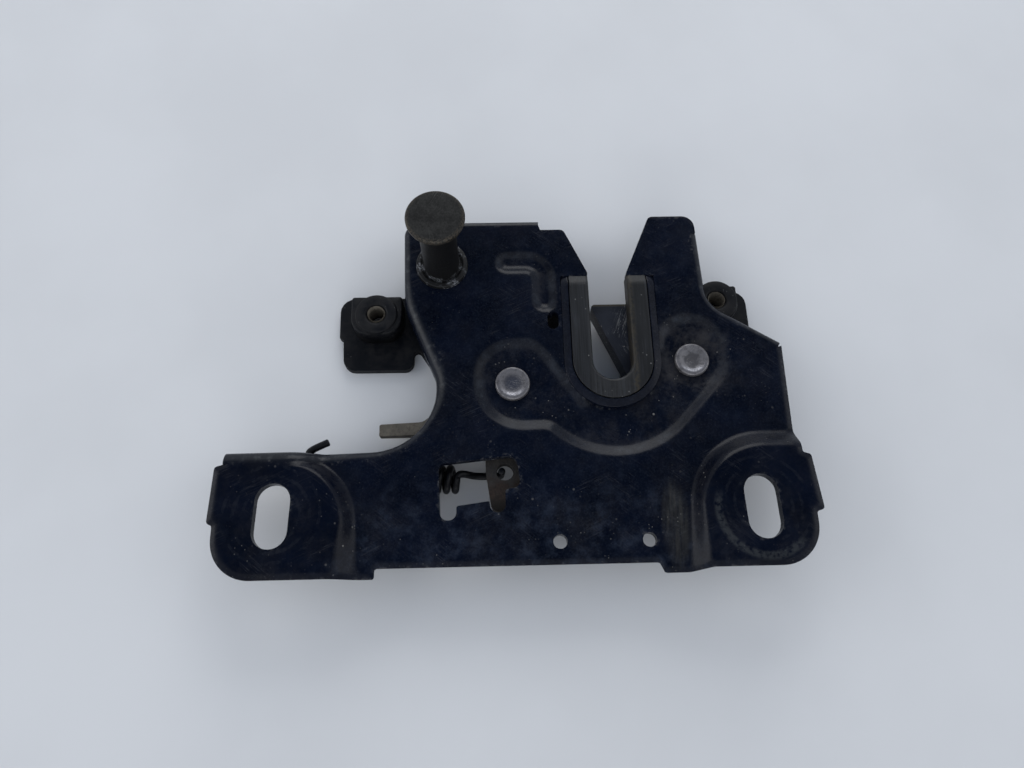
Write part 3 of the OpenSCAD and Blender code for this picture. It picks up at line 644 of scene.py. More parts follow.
# Edges and pressings: x, y and the radius of each corner, in millimetres
LEFT_EDGE = [(-WING_X + 1.2, 16.4, 0), (NECK_LEFT + 8.7, 16.9, 16.5), (NECK_LEFT + 8.7, 36, 8),
             (NECK_LEFT, 57, 12), (NECK_LEFT - 0.6, PLATE_TOP, 4), (7.7, PLATE_TOP, 0)]
RIGHT_EDGE = [(PRONG_RIGHT - 0.3, 78, 0), (PRONG_RIGHT + 0.4, 56.5, 9), (WING_X - 2, 44.8, 0)]
SLOT_LEFT, SLOT_RIGHT = SLOT_FOOT[0] - SLOT_HALF, SLOT_FOOT[0] + SLOT_HALF
SEAT_LEFT, SEAT_RIGHT = SLOT_FOOT[0] - SEAT_HALF, SLOT_FOOT[0] + SEAT_HALF
SEAT_FOOT = SLOT_FOOT[1] - SEAT_HALF
MOUTH_EDGE = [(8.2, 79.6, 0), (14.6, 79.6, 1.5), (SLOT_LEFT, 66, 0.6), (SLOT_LEFT, LINER_TOP, 0),
              (SEAT_LEFT, LINER_TOP, 0), (SEAT_LEFT, SEAT_FOOT, SEAT_HALF - 0.01),
              (SEAT_RIGHT, SEAT_FOOT, SEAT_HALF - 0.01), (SEAT_RIGHT, LINER_TOP, 0),
              (SLOT_RIGHT, LINER_TOP, 0), (SLOT_RIGHT, 65.6, 0), (39, 83.4, 1.5),
              (PRONG_RIGHT - 1, 83.4, 3.5), (PRONG_RIGHT - 0.8, 78, 0)]
WING_EDGE = [(WING_X - 2, 43.5, 0), (WING_X - 2.4, 19.5, 3), (WING_X - 2.3, 13.3, 0.4),
             (WING_X - 0.3, 12.7, 0.5), (WING_X + 1, -1, 0.8), (WING_X - 1, -1.6, 0.3),
             (WING_X - 1, -14.2, 10), (46, -14.2, 4), (41, -15, 4), (35, -15, 0.5), (33.8, -12.5, 0.5),
             (-35, -12.5, 0.5), (-35, -15, 0.5), (-WING_X, -15, 10), (-WING_X, -2, 0.3),
             (-WING_X - 1.4, -1.4, 0.8), (-WING_X - 0.8, 12.4, 0.8), (-WING_X + 1, 12.9, 0.3)]
WINDOW = [(-19.8, 12.9, 1.5), (-0.2, 14.9, 2.5), (0.8, 6.8, 1.8), (-3.1, 6.1, 0.5), (-3.1, 0.4, 1.9),
          (-7, 0.4, 1.9), (-7, 3.3, 0.3), (-15.3, 2.2, 0.5), (-15.3, -1.3, 1.9), (-19.3, -1.3, 1.9)]
PAN_FOOT = SLOT_FOOT[1] - 24.6
PAN_ROUND = 24.0
PAN_EDGE = [(-9.8, 45.8, 9.6), (5.6, 45.8, 5), (17.6, 29.0, 0), (22, 36, 0), (30, 36, 0), (36, 44, 0),
            (38.7, 44, 0), (38.7, 52.3, 8.2), (55.9, 52.3, 8.4), (55.9, 36.5, 10),
            (36.1, PAN_FOOT, PAN_ROUND), (17.1, PAN_FOOT, PAN_ROUND), (8.6, 22.8, 4.5), (-9.8, 22.4, 12)]
BEAD = [(-1.2, 69.8, 0), (8.7, 69.8, 5), (8.7, 58.0, 0)]

# Pads: side, centre, reach of the flat to the middle and to the top, reach of the slope's foot, and how
# fast the flat narrows towards the lower edge
PADS = [(-1, -58.0, -2.0, 14.6, 14.6, 18.4, 0.22), (1, 62.0, 1.0, 16.6, 13.6, 19.3, 0.08)]
PAD_SPREAD = 0.16
# Reach of the pan's wall outside its edge and the wall's width
PAN_OUT, PAN_WALL = 1.9, 4.2
# Lands round the pivots: radius, width of the wall and depth
LAND_R, LAND_WALL, LAND_DEPTH = 7.4, 0.9, 0.22
# Bead: half width, width of the wall and depth
BEAD_HALF, BEAD_WALL, BEAD_DEPTH = 4.0, 3.4, 1.4
# Flanges: level of each foot, rows of points over the bend and below it, growth of the left one's radius
FLANGE_FOOT = -10.0
LIP_FOOT = PANEL - 3.0
BEND_ROWS = 9
FLANGE_ROWS = 4
WING_BEND, NECK_BEND = 1.3, 1.1
# Painted highlight with scuffs over a bend: middle and width as shares of the bend's arc
SHEEN_SCUFF_AT, SHEEN_SCUFF_WIDTH = 0.35, 0.22
RIM_WEAR = 0.7
DIE_ROLL, DIE_REACH = 0.45, 1.5


def slot_path(centre, half, reach, lean=0.0):
    """A slot as a closed path: two half circles, their centres reach off the middle, leaning in degrees."""
    turn, lean = np.linspace(0, np.pi, 18), math.radians(lean)
    ends = np.concatenate([np.c_[half * np.cos(turn), reach + half * np.sin(turn)],
                           np.c_[-half * np.cos(turn), -reach - half * np.sin(turn)]])
    spin = np.array([[math.cos(lean), math.sin(lean)], [-math.sin(lean), math.cos(lean)]])
    return ends @ spin + centre


def pad_share(points, side, x, y, flat_in, flat_up, foot, pull):
    """1 on a pad's flat, falling to 0 at the slope's foot; the slope widens towards the lower edge."""
    u = np.maximum(-side * (points[:, 0] - x), 0)
    v = np.maximum(points[:, 1] - y, 0)
    far = np.hypot(u, v)
    below = np.maximum(y - points[:, 1], 0)
    flat = flat_in + (flat_up - flat_in) * v / np.maximum(far, 1e-6) - pull * below
    end = foot + PAD_SPREAD * below
    return smooth((end - far) / (end - flat))


def plate_height(points, sizes):
    """Height of the front face, with shares for hollows and for the walls of the pan and bead."""
    pads = np.max([pad_share(points, *pad) for pad in PADS], axis=0)
    edge = rounded_path(PAN_EDGE, closed=True)
    within = distance_to(points, edge, closed=True) * np.where(inside(points, edge), 1, -1)
    pan = smooth((within + PAN_OUT) / PAN_WALL)
    far = np.min([np.linalg.norm(points - axis, axis=1) for axis in (CATCH_AXIS, PAWL_AXIS)], axis=0)
    lands = smooth((LAND_R - far) / LAND_WALL)
    bead = smooth((BEAD_HALF - distance_to(points, rounded_path(BEAD))) / BEAD_WALL)
    height = PANEL + sizes.pad_rise / MM * pads - sizes.pan_depth / MM * pan
    height -= LAND_DEPTH * lands + BEAD_DEPTH * bead
    walls = np.max([4 * share * (1 - share) for share in (pan, bead)], axis=0)
    return height, np.max([pan, bead, 4 * pads * (1 - pads)], axis=0), walls


def inside(points, path):
    """True for points inside a closed path, by counting the edges crossed to the right."""
    odd = np.zeros(len(points), bool)
    for a, b in zip(path, np.roll(path, -1, axis=0)):
        cross = (a[1] > points[:, 1]) != (b[1] > points[:, 1])
        at = a[0] + (points[:, 1] - a[1]) * (b[0] - a[0]) / (b[1] - a[1] if b[1] != a[1] else 1.0)
        odd ^= cross & (points[:, 0] < at)
    return odd


def trimmed_sheet(outer, holes, spacing):
    """A staggered grid of points trimmed to an outline with holes, joined by constrained triangles."""
    low, high = outer.min(0), outer.max(0)
    x, y = np.meshgrid(np.arange(low[0], high[0], spacing), np.arange(low[1], high[1], spacing * 0.866))
    x[1::2] += spacing / 2
    points = np.c_[x.ravel(), y.ravel()]
    points = points[inside(points, outer)]
    for hole in holes:
        points = points[~inside(points, hole)]
    for loop in [outer, *holes]:
        points = points[distance_to(points, loop, closed=True) > 0.62 * spacing]
    loops, edges, start = [outer, *holes], [], 0
    for loop in loops:
        k = np.arange(len(loop))
        edges += np.c_[start + k, start + (k + 1) % len(loop)].tolist()
        start += len(loop)
    flat = np.concatenate([*loops, points])
    made = delaunay_2d_cdt([Vector(p) for p in flat.tolist()], edges, [], 1, 1e-6)
    flat, faces = np.array([tuple(p) for p in made[0]]), np.array(made[2])
    middle = flat[faces].mean(1)
    for hole in holes:
        keep = ~inside(middle, hole)
        faces, middle = faces[keep], middle[keep]
    return flat, faces


def flange(edge, bend, foot, sizes):
    """A bent edge: a quarter round of the radii in bend along the edge, then straight down to the foot."""
    into = side_of(edge)
    inner = edge + into * bend[:, None]
    top = plate_height(inner, sizes)[0]
    rows = [np.c_[inner - into * (bend * math.sin(t))[:, None], top - bend * (1 - math.cos(t))]
            for t in np.linspace(0, np.pi / 2, BEND_ROWS)]
    rows += [np.c_[edge, (top - bend) * (1 - t) + foot * t] for t in np.linspace(0, 1, FLANGE_ROWS + 1)[1:]]
    grid = np.stack(rows)
    return grid.reshape(-1, 3), grid_faces(len(grid), len(edge))


class LATCH_OT_plate(bpy.types.Operator):
    """Press the front plate with its pads, pan, bead, window and bent edges"""

    bl_idname = "latch.plate"
    bl_label = "Front plate"

    def execute(self, context):
        sizes = context.scene.latch_sizes
        step = sizes.grid / MM
        left = even_path(rounded_path(LEFT_EDGE), step)
        right = even_path(rounded_path(RIGHT_EDGE), step)
        wing = even_path(rounded_path(WING_EDGE), step * 0.8)
        mouth = even_path(rounded_path(MOUTH_EDGE), step * 0.8)
        window = even_path(rounded_path(WINDOW, closed=True), step * 0.7, closed=True)
        x, y = left.T
        bend = sizes.bend / MM + WING_BEND * smooth((NECK_LEFT - x) / 26)
        bend += NECK_BEND * smooth(y / 10 - 2.4) * smooth(6.6 - y / 10)
        lip = np.full(len(right), sizes.bend / MM)
        outer = np.concatenate([left + side_of(left) * bend[:, None], mouth,
                                right + side_of(right) * lip[:, None], wing])
        holes = [slot_path((side * MOUNT_X, 0), *BOLT_SLOT, side * BOLT_LEAN) for side in (-1, 1)]
        holes += [slot_path(PIERCED, *PIERCED_SLOT), window]
        holes += [circle_path(centre, ROUND_HOLE_R) for centre in ROUND_HOLES]
        flat, faces = trimmed_sheet(outer, holes, step)
        height, hollow, walls = plate_height(flat, sizes)
        height -= DIE_ROLL * smooth(1 - distance_to(flat, wing) / DIE_REACH)
        rim = np.min([distance_to(flat, loop, closed=True) for loop in [outer, *holes]], axis=0)
        parts = [(np.c_[flat, height], faces)]
        for edge, radius, foot in ((left, bend, FLANGE_FOOT), (right, lip, LIP_FOOT)):
            parts.append(flange(edge, radius, foot, sizes))
        points = np.concatenate([p for p, _ in parts])
        starts = np.cumsum([0] + [len(p) for p, _ in parts[:-1]])
        faces = [[int(i) + start for i in face] for (_, some), start in zip(parts, starts) for face in some]
        # Profile of the painted highlight across each bend, strongest near its inner start
        bend_sheen_and_scuff = np.exp(-((np.linspace(0, 1, BEND_ROWS) - SHEEN_SCUFF_AT) / SHEEN_SCUFF_WIDTH) ** 2)
        arc = np.r_[bend_sheen_and_scuff, np.zeros(FLANGE_ROWS)]
        bent = np.r_[np.zeros(len(flat)), np.repeat(arc, len(left)), np.repeat(arc, len(right))]
        finish = dip_coat(context.scene.latch_finish)
        plate = new_piece("front_plate", points, faces, finish, "frame", ["main_plate"])
        rim = smooth(1 - rim / RIM_WEAR)
        for name, values in (("rim", rim), ("hollow", hollow), ("wall", walls), ("bent", bent)):
            values = np.r_[values, np.zeros(len(points) - len(values))].astype(np.float32)
            plate.data.attributes.new(name, "FLOAT", "POINT").data.foreach_set("value", values)
        merge_points(plate.data, SHEET_MERGE)
        thick = plate.modifiers.new("Sheet", "SOLIDIFY")
        thick.thickness = sizes.sheet
        thick.offset = -1
        round_edges(plate, sizes.rim, SHEET_CORNER)
        return {"FINISHED"}


# Sections round the striker slot: reach from its middle, height and the radius of each corner
SEAT_SECTION = [(7.3, -8.1, 0.3), (SEAT_HALF, -8.1, 0.6), (SEAT_HALF, -4.1, 0.3), (10.8, -3.25, 0.2),
                (10.7, -5.6, 0.1), (7.3, -5.6, 0.3)]
LINER_SECTION = [(5.3, -8.1, 0.4), (7.2, -8.1, 0.3), (7.2, -5.6, 0.1), (10.6, -5.6, 0.1),
                 (10.6, -3.05, 0.25), (5.3, -3.0, 0.9)]
SECTION_SHARP = 50
LINER_DROP = 0.4


def slot_sweep(section):
    """A closed section carried round the striker slot; its top slopes down at both upper ends."""
    leg = np.linspace(LINER_TOP, SLOT_FOOT[1], 30)
    turn = np.linspace(0, np.pi, 40)[1:-1]
    lean = np.r_[np.zeros(len(leg)), turn, np.full(len(leg), np.pi)]
    rise = np.r_[leg, np.full(len(turn), SLOT_FOOT[1]), leg[::-1]]
    out, z = section.T
    ramp = smooth(1 + (rise - LINER_TOP) / LINER_RAMP)[:, None]
    x = SLOT_FOOT[0] - out * np.cos(lean)[:, None]
    y = rise[:, None] - out * np.sin(lean)[:, None]
    points = np.stack([x, y, z - ramp * np.maximum(z - PAN, 0) * LINER_DROP], -1)
    faces = grid_faces(len(lean), len(out), wrap=True).tolist()
    last = (len(lean) - 1) * len(out)
    return points.reshape(-1, 3), faces + [list(range(len(out))), list(range(last, last + len(out)))]


class LATCH_OT_liner(bpy.types.Operator):
    """Fit the plastic liner into the striker slot, on the pressed seat of the plate"""

    bl_idname = "latch.liner"
    bl_label = "Slot liner"

    def execute(self, context):
        colours = context.scene.latch_finish
        for name, section, finish, slot, nodes in (
                ("liner_seat", SEAT_SECTION, dip_coat(colours), "coated_plate", ()),
                ("striker_liner", LINER_SECTION, liner_plastic(colours), "liner", ("slot_liner",))):
            points, faces = slot_sweep(rounded_path(section, closed=True))
            closed_piece(name, points, faces, finish, "frame", nodes, SECTION_SHARP)
        return {"FINISHED"}


# Stud from its riveted foot to its head: radius, height and the radius of each corner
STUD_PROFILE = [(AXIS_R, -7.5, 0), (4.6, -7.5, 0.4), (5.4, -7.0, 0.3), (5.4, -6.5, 0), (3.5, -6.5, 0),
                (3.5, -4, 0), (7.1, -4, 0), (7.0, -2.9, 0.35), (5.9, -2.75, 0.3), (5.4, -3.3, 0.3),
                (4.8, -3.5, 0.2), (4.8, 19.3, 0.3), (7.2, 19.7, 0.3), (7.4, 20.4, 0.2), (7.4, 21.0, 0.2),
                (7.0, 21.5, 0.4), (AXIS_R, 21.5, 0)]
STUD_SHARP = 40


class LATCH_OT_stud(bpy.types.Operator):
    """Turn the headed safety stud and its collar"""

    bl_idname = "latch.stud"
    bl_label = "Safety stud"

    def execute(self, context):
        points, faces = turned(rounded_path(STUD_PROFILE), STUD_FOOT)
        finish = worn_stud(context.scene.latch_finish)
        closed_piece("headed_stud", points, faces, finish, "frame", ["safety_stud"], STUD_SHARP)
        return {"FINISHED"}


# Pivot rivets: radii and levels of the sunk foot, the shank and the head, and the dimple in the head
RIVET_FOOT, RIVET_SINK = (5.1, -17.1), -15.6
RIVET_SHANK = 3.6
RIVET_HEAD, RIVET_TOP = 4.55, PAN + 1.3
DIMPLE_R, DIMPLE_DEPTH = 3.5, 0.55
RIVET_SHARP = 45


class LATCH_OT_rivets(bpy.types.Operator):
    """Set the two pivot rivets with their dimpled heads"""

    bl_idname = "latch.rivets"
    bl_label = "Pivot rivets"

    def execute(self, context):
        finish = bare_steel(context.scene.latch_finish)
        dimple = np.linspace(1.0, 0.0, 12)
        bowl = np.c_[DIMPLE_R * dimple + AXIS_R, RIVET_TOP - DIMPLE_DEPTH * (1 - dimple ** 2)]
        outside = rounded_path([(AXIS_R, RIVET_FOOT[1], 0), (*RIVET_FOOT, 0.2), (RIVET_SHANK, RIVET_SINK, 0),
                                (RIVET_SHANK, PAN, 0), (RIVET_HEAD, PAN, 0), (RIVET_HEAD, RIVET_TOP, 0.6),
                                (RIVET_SHANK, RIVET_TOP, 0)])
        profile = np.concatenate([outside, bowl])
        for name, axis in (("catch_rivet", CATCH_AXIS), ("pawl_rivet", PAWL_AXIS)):
            points, faces = turned(profile, axis)
            closed_piece(name + "_head", points, faces, finish, "frame", [name], RIVET_SHARP)
        return {"FINISHED"}


# Extension spring: radius, pitch, turns and right end of the coil, and the y and z of its axis
COIL_R, COIL_PITCH, COIL_TURNS, COIL_RIGHT = 2.9, 2.3, 13.75, -15.4
COIL_Y, COIL_Z = 10.8, -12.5
# Eye in the pawl: centre, radius, and levels of its front, its back and the lever's underside
SPRING_EYE = PAWL_AXIS + (-2.5, -22.7)
EYE_R = 2.2
EYE_FRONT, EYE_BACK, LEVER_UNDER = -8.6, -11.6, -12.1
# Hole in the left wing's flange: its x and z, and about the y of the flange's inner and outer face
HITCH_X, HITCH_Z = -53.5, -8.2
WING_INNER, WING_OUTER = 13.25, 16.0
# Torsion spring: radius, wire radius, levels of its ends, first angle and sweep in degrees
TORSION_R, TORSION_WIRE = 8, 0.6
TORSION_TOP, TORSION_LOW = -11.1, -13.5
TORSION_FROM, TORSION_SWEEP = 60, 555


class LATCH_OT_springs(bpy.types.Operator):
    """Wind the pawl's extension spring and the catch's torsion spring"""

    bl_idname = "latch.springs"
    bl_label = "Springs"

    def execute(self, context):
        wire = context.scene.latch_sizes.wire / MM
        finish = black_wire(context.scene.latch_finish)
        y, z, right = COIL_Y, COIL_Z, COIL_RIGHT
        turn = np.linspace(0, -2 * np.pi * COIL_TURNS, int(COIL_TURNS * 28) + 1)
        run = right + COIL_PITCH * turn / (2 * np.pi)
        coil = np.c_[run, y + COIL_R * np.sin(turn), z + COIL_R * np.cos(turn)]
        eye_x, eye_y = SPRING_EYE - (EYE_R - wire - 0.2, 0)
        under = LEVER_UNDER - wire
        hook = [(eye_x + 0.3, eye_y, EYE_FRONT + 0.7), (eye_x + 0.1, eye_y, EYE_FRONT - 0.5),
                (eye_x + 0.1, eye_y, EYE_BACK - 0.9), (eye_x - 0.5, eye_y, under - 0.6),
                (eye_x - 2.6, eye_y, under - 0.4), (right + 4.5, eye_y, under),
                (right + 2.5, y + 0.8, z + COIL_R - 1), (right + 0.8, y + 0.8, z + COIL_R), coil[0]]
        left, behind = coil[-1][0], WING_INNER - wire
        hitch = [coil[-1], (left - 0.7, behind + 0.9, z + 1.2), (left - 3, behind - 0.2, HITCH_Z - 1.2),
                 (HITCH_X + 1.5, behind - 0.4, HITCH_Z), (HITCH_X, behind + 0.2, HITCH_Z),
                 (HITCH_X, WING_OUTER + 0.9, HITCH_Z), (HITCH_X + 0.5, WING_OUTER + 2.2, HITCH_Z),
                 (HITCH_X + 5, WING_OUTER + 4.2, HITCH_Z)]
        path = np.concatenate([softened(hook)[:-1], coil, softened(hitch)[1:]])
        points, faces = tube(path, wire)
        spring = closed_piece("extension_spring", points, faces, finish, None, ["pawl_spring"])
        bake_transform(spring)
        twist = np.radians(np.linspace(TORSION_FROM, TORSION_FROM + TORSION_SWEEP, 140))
        coil = np.c_[CATCH_AXIS[0] + TORSION_R * np.cos(twist), CATCH_AXIS[1] + TORSION_R * np.sin(twist),
                     np.linspace(TORSION_TOP, TORSION_LOW, len(twist))]
        out = np.array([math.cos(twist[0]), math.sin(twist[0]), 0])
        leg = [coil[0] + 2.3 * out, coil[0] + 0.8 * out]
        foot = [coil[-1] - (0, 0, 1.2), coil[-1] - (0, 0, 2.5)]
        points, faces = tube(np.concatenate([leg, coil[2:], foot]), TORSION_WIRE)
        spring = closed_piece("torsion_spring", points, faces, finish, None, ["catch_spring"])
        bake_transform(spring)
        return {"FINISHED"}


def softened(path):
    """A bent path with its corners cut three times, which rounds it between its ends."""
    path = np.asarray([tuple(p) for p in path], float)
    for _ in range(3):
        cut = np.stack([0.75 * path[:-1] + 0.25 * path[1:], 0.25 * path[:-1] + 0.75 * path[1:]], 1)
        path = np.concatenate([path[:1], cut.reshape(-1, 3), path[-1:]])
    return path


# Cable arm of the lever: x where it starts to slim and over how much, its own middle and the slim one's,
# share of the width kept, and slope about the x of its end
ARM_X, ARM_EASE = -16.0, 8.0
ARM_OWN_Y, ARM_SLIM_Y = 21.7, 22.5
ARM_SHARE, ARM_SLOPE, ARM_END = 0.85, 0.04, -36.0


def slim_arm(mesh):
    """Thins the lever's cable arm left of the neck and lets it rise a little to the right."""
    points = np.zeros(3 * len(mesh.vertices), np.float32)
    mesh.vertices.foreach_get("co", points)
    x, y, _ = points.reshape(-1, 3).T
    share = smooth((ARM_X * MM - x) / (ARM_EASE * MM))
    slim = ARM_SLIM_Y * MM + ARM_SHARE * (y - ARM_OWN_Y * MM) + ARM_SLOPE * (x - ARM_END * MM)
    y += share * (slim - y)
    mesh.vertices.foreach_set("co", points)


# Weld nuts: reach of the round side, height of the foot, radius and top of the collar, radius of the bore
NUT_ROUND, NUT_TOP = 5.8, 6.6
COLLAR_R, COLLAR_TOP = 5.7, 7.4
BORE_R = 2.5
NUT_SIDES = 120


def weld_nut(place, width, far):
    """A D shaped foot with a collar; its rows of reach and height run up, over and down the bore."""
    turn = np.linspace(-np.pi, np.pi, NUT_SIDES, endpoint=False)
    half = width / 2
    knots = [(-half, far, 0.6), (half, far, 0.6), (half, -NUT_ROUND, 5), (-half, -NUT_ROUND, 5)]
    foot = even_path(rounded_path(knots, closed=True), 0.1, closed=True)
    angle = np.arctan2(foot[:, 1], foot[:, 0])
    order = np.argsort(angle)
    reach = np.interp(turn, angle[order], np.hypot(*foot.T)[order], period=2 * np.pi)
    collar, bore = np.full(NUT_SIDES, COLLAR_R), np.full(NUT_SIDES, BORE_R)
    reach = np.maximum(reach, collar + 0.1)
    brim = np.maximum(reach - 0.4, collar)
    rows = [(reach, 0), (reach, NUT_TOP - 0.4), (np.maximum(reach - 0.12, collar), NUT_TOP - 0.12),
            (brim, NUT_TOP), (np.minimum(collar + 0.35, brim), NUT_TOP), (collar + 0.08, NUT_TOP + 0.08),
            (collar, NUT_TOP + 0.3), (collar - 0.02, COLLAR_TOP - 0.4), (collar - 0.12, COLLAR_TOP - 0.12),
            (collar - 0.4, COLLAR_TOP), (bore + 0.8, COLLAR_TOP), (bore + 0.5, COLLAR_TOP - 0.1),
            (bore, COLLAR_TOP - 0.6), (bore, 0), (reach, 0)]
    points = np.stack([np.c_[place[0] + r * np.cos(turn), place[1] + r * np.sin(turn),
                             np.full(NUT_SIDES, REAR + h)] for r, h in rows])
    return points.reshape(-1, 3), grid_faces(len(rows), NUT_SIDES, wrap=True)


class LATCH_OT_mechanism(bpy.types.Operator):
    """Finish the catch, the pawl with its lever, the bushes, the rear plate and the ear nuts"""

    bl_idname = "latch.mechanism"
    bl_label = "Mechanism"

    def execute(self, context):
        colours = context.scene.latch_finish
        black, zinc, steel = matte_black(colours), aged_zinc(colours), bare_steel(colours)
        for node, (place, width, far) in EARS.items():
            points, faces = weld_nut(place, width, far)
            closed_piece(node + "_body", points, faces, black, "frame", [node])
        for node, width, finish, slot, body in (
                ("catch", 0.45, catch_paint(), "catch_coat", "catch"),
                ("pawl", 0.3, rusty_steel(colours), "rusty_steel", "pawl"),
                ("release_lever", 0.25, zinc, "zinc_lever", "pawl"),
                ("lever_rivet", 0.15, zinc, "zinc_lever", "pawl"),
                ("rear_plate", 0.4, black, "rear_black", "frame"),
                ("catch_bush", 0.2, steel, "bush_steel", "frame"),
                ("pawl_bush", 0.2, steel, "bush_steel", "frame")):
            piece = bevelled_copy(node, width, finish, body)
            if node == "release_lever":
                slim_arm(piece.data)
        return {"FINISHED"}


# Ear threads: radius at the crests, depth, and levels of both ends above the rear plate
THREAD_R, THREAD_DEPTH = 2.1, 0.36
THREAD_LOW, THREAD_TOP = 0.1, 7.1
THREAD_ROWS, THREAD_SIDES = 90, 48


class LATCH_OT_threads(bpy.types.Operator):
    """Cut the threads of the two ear nuts"""

    bl_idname = "latch.threads"
    bl_label = "Ear threads"

    def execute(self, context):
        pitch = context.scene.latch_sizes.pitch / MM
        finish = aged_zinc(context.scene.latch_finish)
        turn = np.linspace(0, 2 * np.pi, THREAD_SIDES, endpoint=False)
        height = np.linspace(REAR + THREAD_LOW, REAR + THREAD_TOP, THREAD_ROWS)[:, None] + 0 * turn
        phase = height / pitch - turn / (2 * np.pi)
        radius = THREAD_R + THREAD_DEPTH * np.abs(2 * (phase % 1) - 1)
        faces = grid_faces(THREAD_ROWS, THREAD_SIDES, wrap=True)[:, ::-1]
        for name, ((x, y), _, _) in EARS.items():
            points = np.stack([x + radius * np.cos(turn), y + radius * np.sin(turn), height], -1)
            name = name.replace("nut", "thread")
            new_piece(name, points.reshape(-1, 3), faces, finish, "frame")
        return {"FINISHED"}


# Lamps: name, place in metres and power in watts; their size and the point they face, in metres
LAMPS = [("key", (0.10, 0.95, 0.45), 4.0), ("left", (-0.95, 0.1, 0.40), 2.6),
         ("right", (0.95, 0.1, 0.40), 1.3), ("foot", (0.0, -0.95, 0.22), 3.2)]
LAMP_SIZE = 0.6
LAMP_AIM = Vector((0.0, 0.03, 0.0))
# Half the side of the floor, in metres
FLOOR_REACH = 1.5


class LATCH_OT_stage(bpy.types.Operator):
    """Set the pale floor, the soft lamps and the camera"""

    bl_idname = "latch.stage"
    bl_label = "Stage"

    def execute(self, context):
        scene = context.scene
        scene.view_settings.view_transform = "Standard"
        pale = scene.latch_finish.floor
        f = Finish("pale_floor")
        cloud = f.noise(60.0, 4.0, 0.5)
        colour = cloud.between(0.3, 0.7).blend(rgba(pale, 0.97), rgba(pale, 1.03))
        turns = ((-1, -1), (1, -1), (1, 1), (-1, 1))
        corners = [(x * FLOOR_REACH, y * FLOOR_REACH, FLOOR) for x, y in turns]
        mesh = bpy.data.meshes.new("floor")
        mesh.from_pydata(corners, [], [(0, 1, 2, 3)])
        mesh.materials.append(f.done(colour, 0.75))
        floor = bpy.data.objects.new("floor", mesh)
        bpy.context.collection.objects.link(floor)
        soft_world(scene)
        for name, place, power in LAMPS:
            lamp = bpy.data.lights.new(name, "AREA")
            lamp.size = LAMP_SIZE
            lamp.energy = power
            light = bpy.data.objects.new(name, lamp)
            light.location = place
            light.rotation_euler = (LAMP_AIM - Vector(place)).to_track_quat("-Z", "Y").to_euler()
            bpy.context.collection.objects.link(light)
        photo_camera(scene)
        return {"FINISHED"}


SKY_DARK = (0.10, 0.14, 0.22, 1)
SKY_PALE = (0.80, 0.84, 0.90, 1)
SKY_STRENGTH = 1.05


def soft_world(scene):
    """A pale sky, brighter on the left and high up, with a dark blue patch where the flat coat mirrors it."""
    world = scene.world or bpy.data.worlds.new("sky")
    scene.world = world
    world.use_nodes = True
    sky = Tone(world.node_tree)
    view = sky.add("ShaderNodeTexCoord", out=0)
    way = [sky.add("ShaderNodeSeparateXYZ", None, {0: view}, out=i) for i in range(3)]
    side = (way[1] * 0.3 - way[0] * 0.6).between(-1.0, 1.0) * 0.45 + 0.45 + way[2].between(0.25, 0.65) * 0.6
    across, along = way[0] * 1.6, (way[1] - way[2] * 0.36) * 1.7
    pale = ((across * across + along * along).root() - way[2]).between(-0.1, 0.4) * side
    colour = pale.blend(SKY_DARK, SKY_PALE)
    backdrop = world.node_tree.nodes["Background"]
    world.node_tree.links.new(colour.socket, backdrop.inputs["Color"])
    backdrop.inputs["Strength"].default_value = SKY_STRENGTH


# Camera: focal length, picture and point straight below it in pixels, turn, place in millimetres, sensor
FOCAL_PX = 770.0
IMAGE = (1024.0, 768.0)
NADIR_PX = (500.0, 658.0)
YAW = math.radians(1.4)
CAMERA_FOOT = (-5.214, -33.320)
CAMERA_HEIGHT = 185.0
SENSOR = 36.0


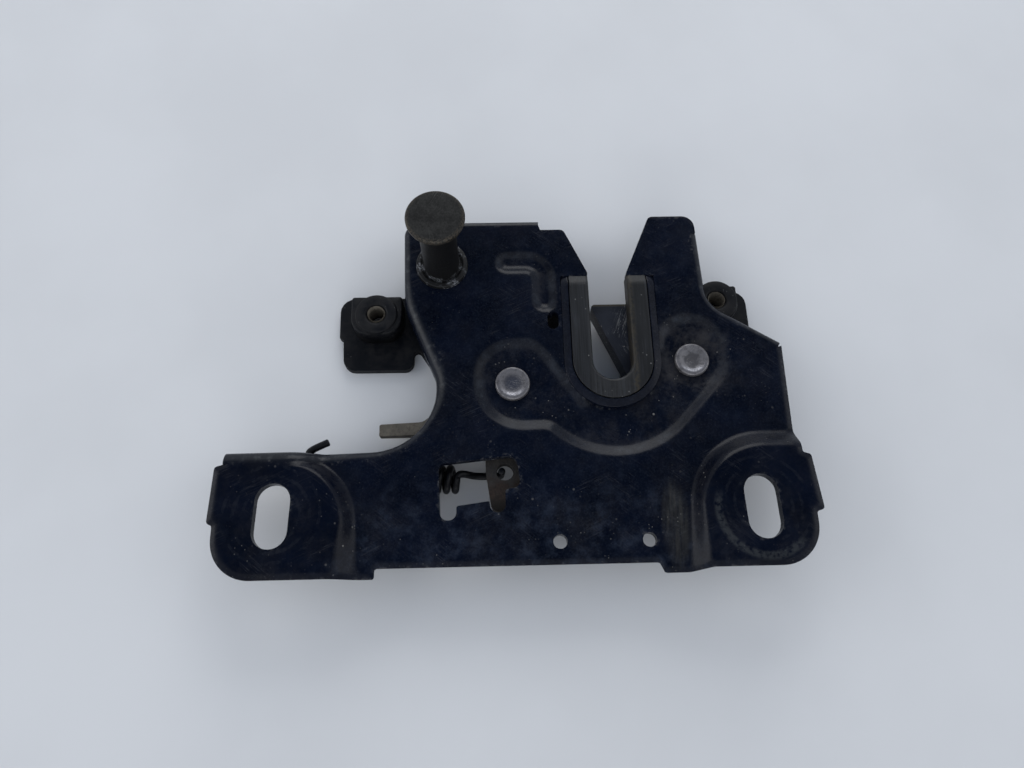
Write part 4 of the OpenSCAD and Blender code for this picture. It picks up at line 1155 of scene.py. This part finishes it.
def photo_camera(scene):
    """A camera over the plate: the nadir pixel gives its tilt, and the yaw turns the plate in the picture."""
    down = np.array([NADIR_PX[0] - IMAGE[0] / 2, NADIR_PX[1] - IMAGE[1] / 2, FOCAL_PX])
    down /= np.linalg.norm(down)
    across = np.array([1.0, 0, 0]) - down[0] * down
    across /= np.linalg.norm(across)
    below = np.cross(down, across)
    c, s = math.cos(-YAW), math.sin(-YAW)
    axes = np.array([c * across + s * below, s * across - c * below, -down])
    lens = bpy.data.cameras.new("camera")
    lens.sensor_width = SENSOR
    lens.lens = SENSOR * FOCAL_PX / IMAGE[0]
    lens.clip_start = 0.01
    camera = bpy.data.objects.new("camera", lens)
    place = np.eye(4)
    place[:3, 0], place[:3, 1], place[:3, 2] = axes[:, 0], -axes[:, 1], -axes[:, 2]
    place[:3, 3] = np.array([*CAMERA_FOOT, CAMERA_HEIGHT]) * MM
    camera.matrix_world = Matrix(place.tolist())
    bpy.context.collection.objects.link(camera)
    scene.camera = camera


class LATCH_PT_panel(bpy.types.Panel):
    """Lists the latch's pieces in the sidebar"""

    bl_idname = "LATCH_PT_panel"
    bl_label = "Bonnet latch"
    bl_space_type = "VIEW_3D"
    bl_region_type = "UI"
    bl_category = "Latch"

    def draw(self, context):
        for step in STEPS:
            self.layout.operator(step.bl_idname)


STEPS = (LATCH_OT_plate, LATCH_OT_liner, LATCH_OT_stud, LATCH_OT_rivets, LATCH_OT_springs, LATCH_OT_mechanism,
         LATCH_OT_threads, LATCH_OT_stage)
CLASSES = (LatchSizes, LatchFinish, *STEPS, LATCH_PT_panel)


def register():
    for item in CLASSES:
        bpy.utils.register_class(item)
    bpy.types.Scene.latch_sizes = PointerProperty(type=LatchSizes)
    bpy.types.Scene.latch_finish = PointerProperty(type=LatchFinish)


def unregister():
    del bpy.types.Scene.latch_sizes
    del bpy.types.Scene.latch_finish
    for item in reversed(CLASSES):
        bpy.utils.unregister_class(item)


def main():
    """Builds every piece."""
    register()
    steps = bpy.ops.latch
    for step in (steps.plate, steps.liner, steps.stud, steps.rivets, steps.springs, steps.mechanism,
                 steps.threads, steps.stage):
        step()


if __name__ == "__main__":
    main()
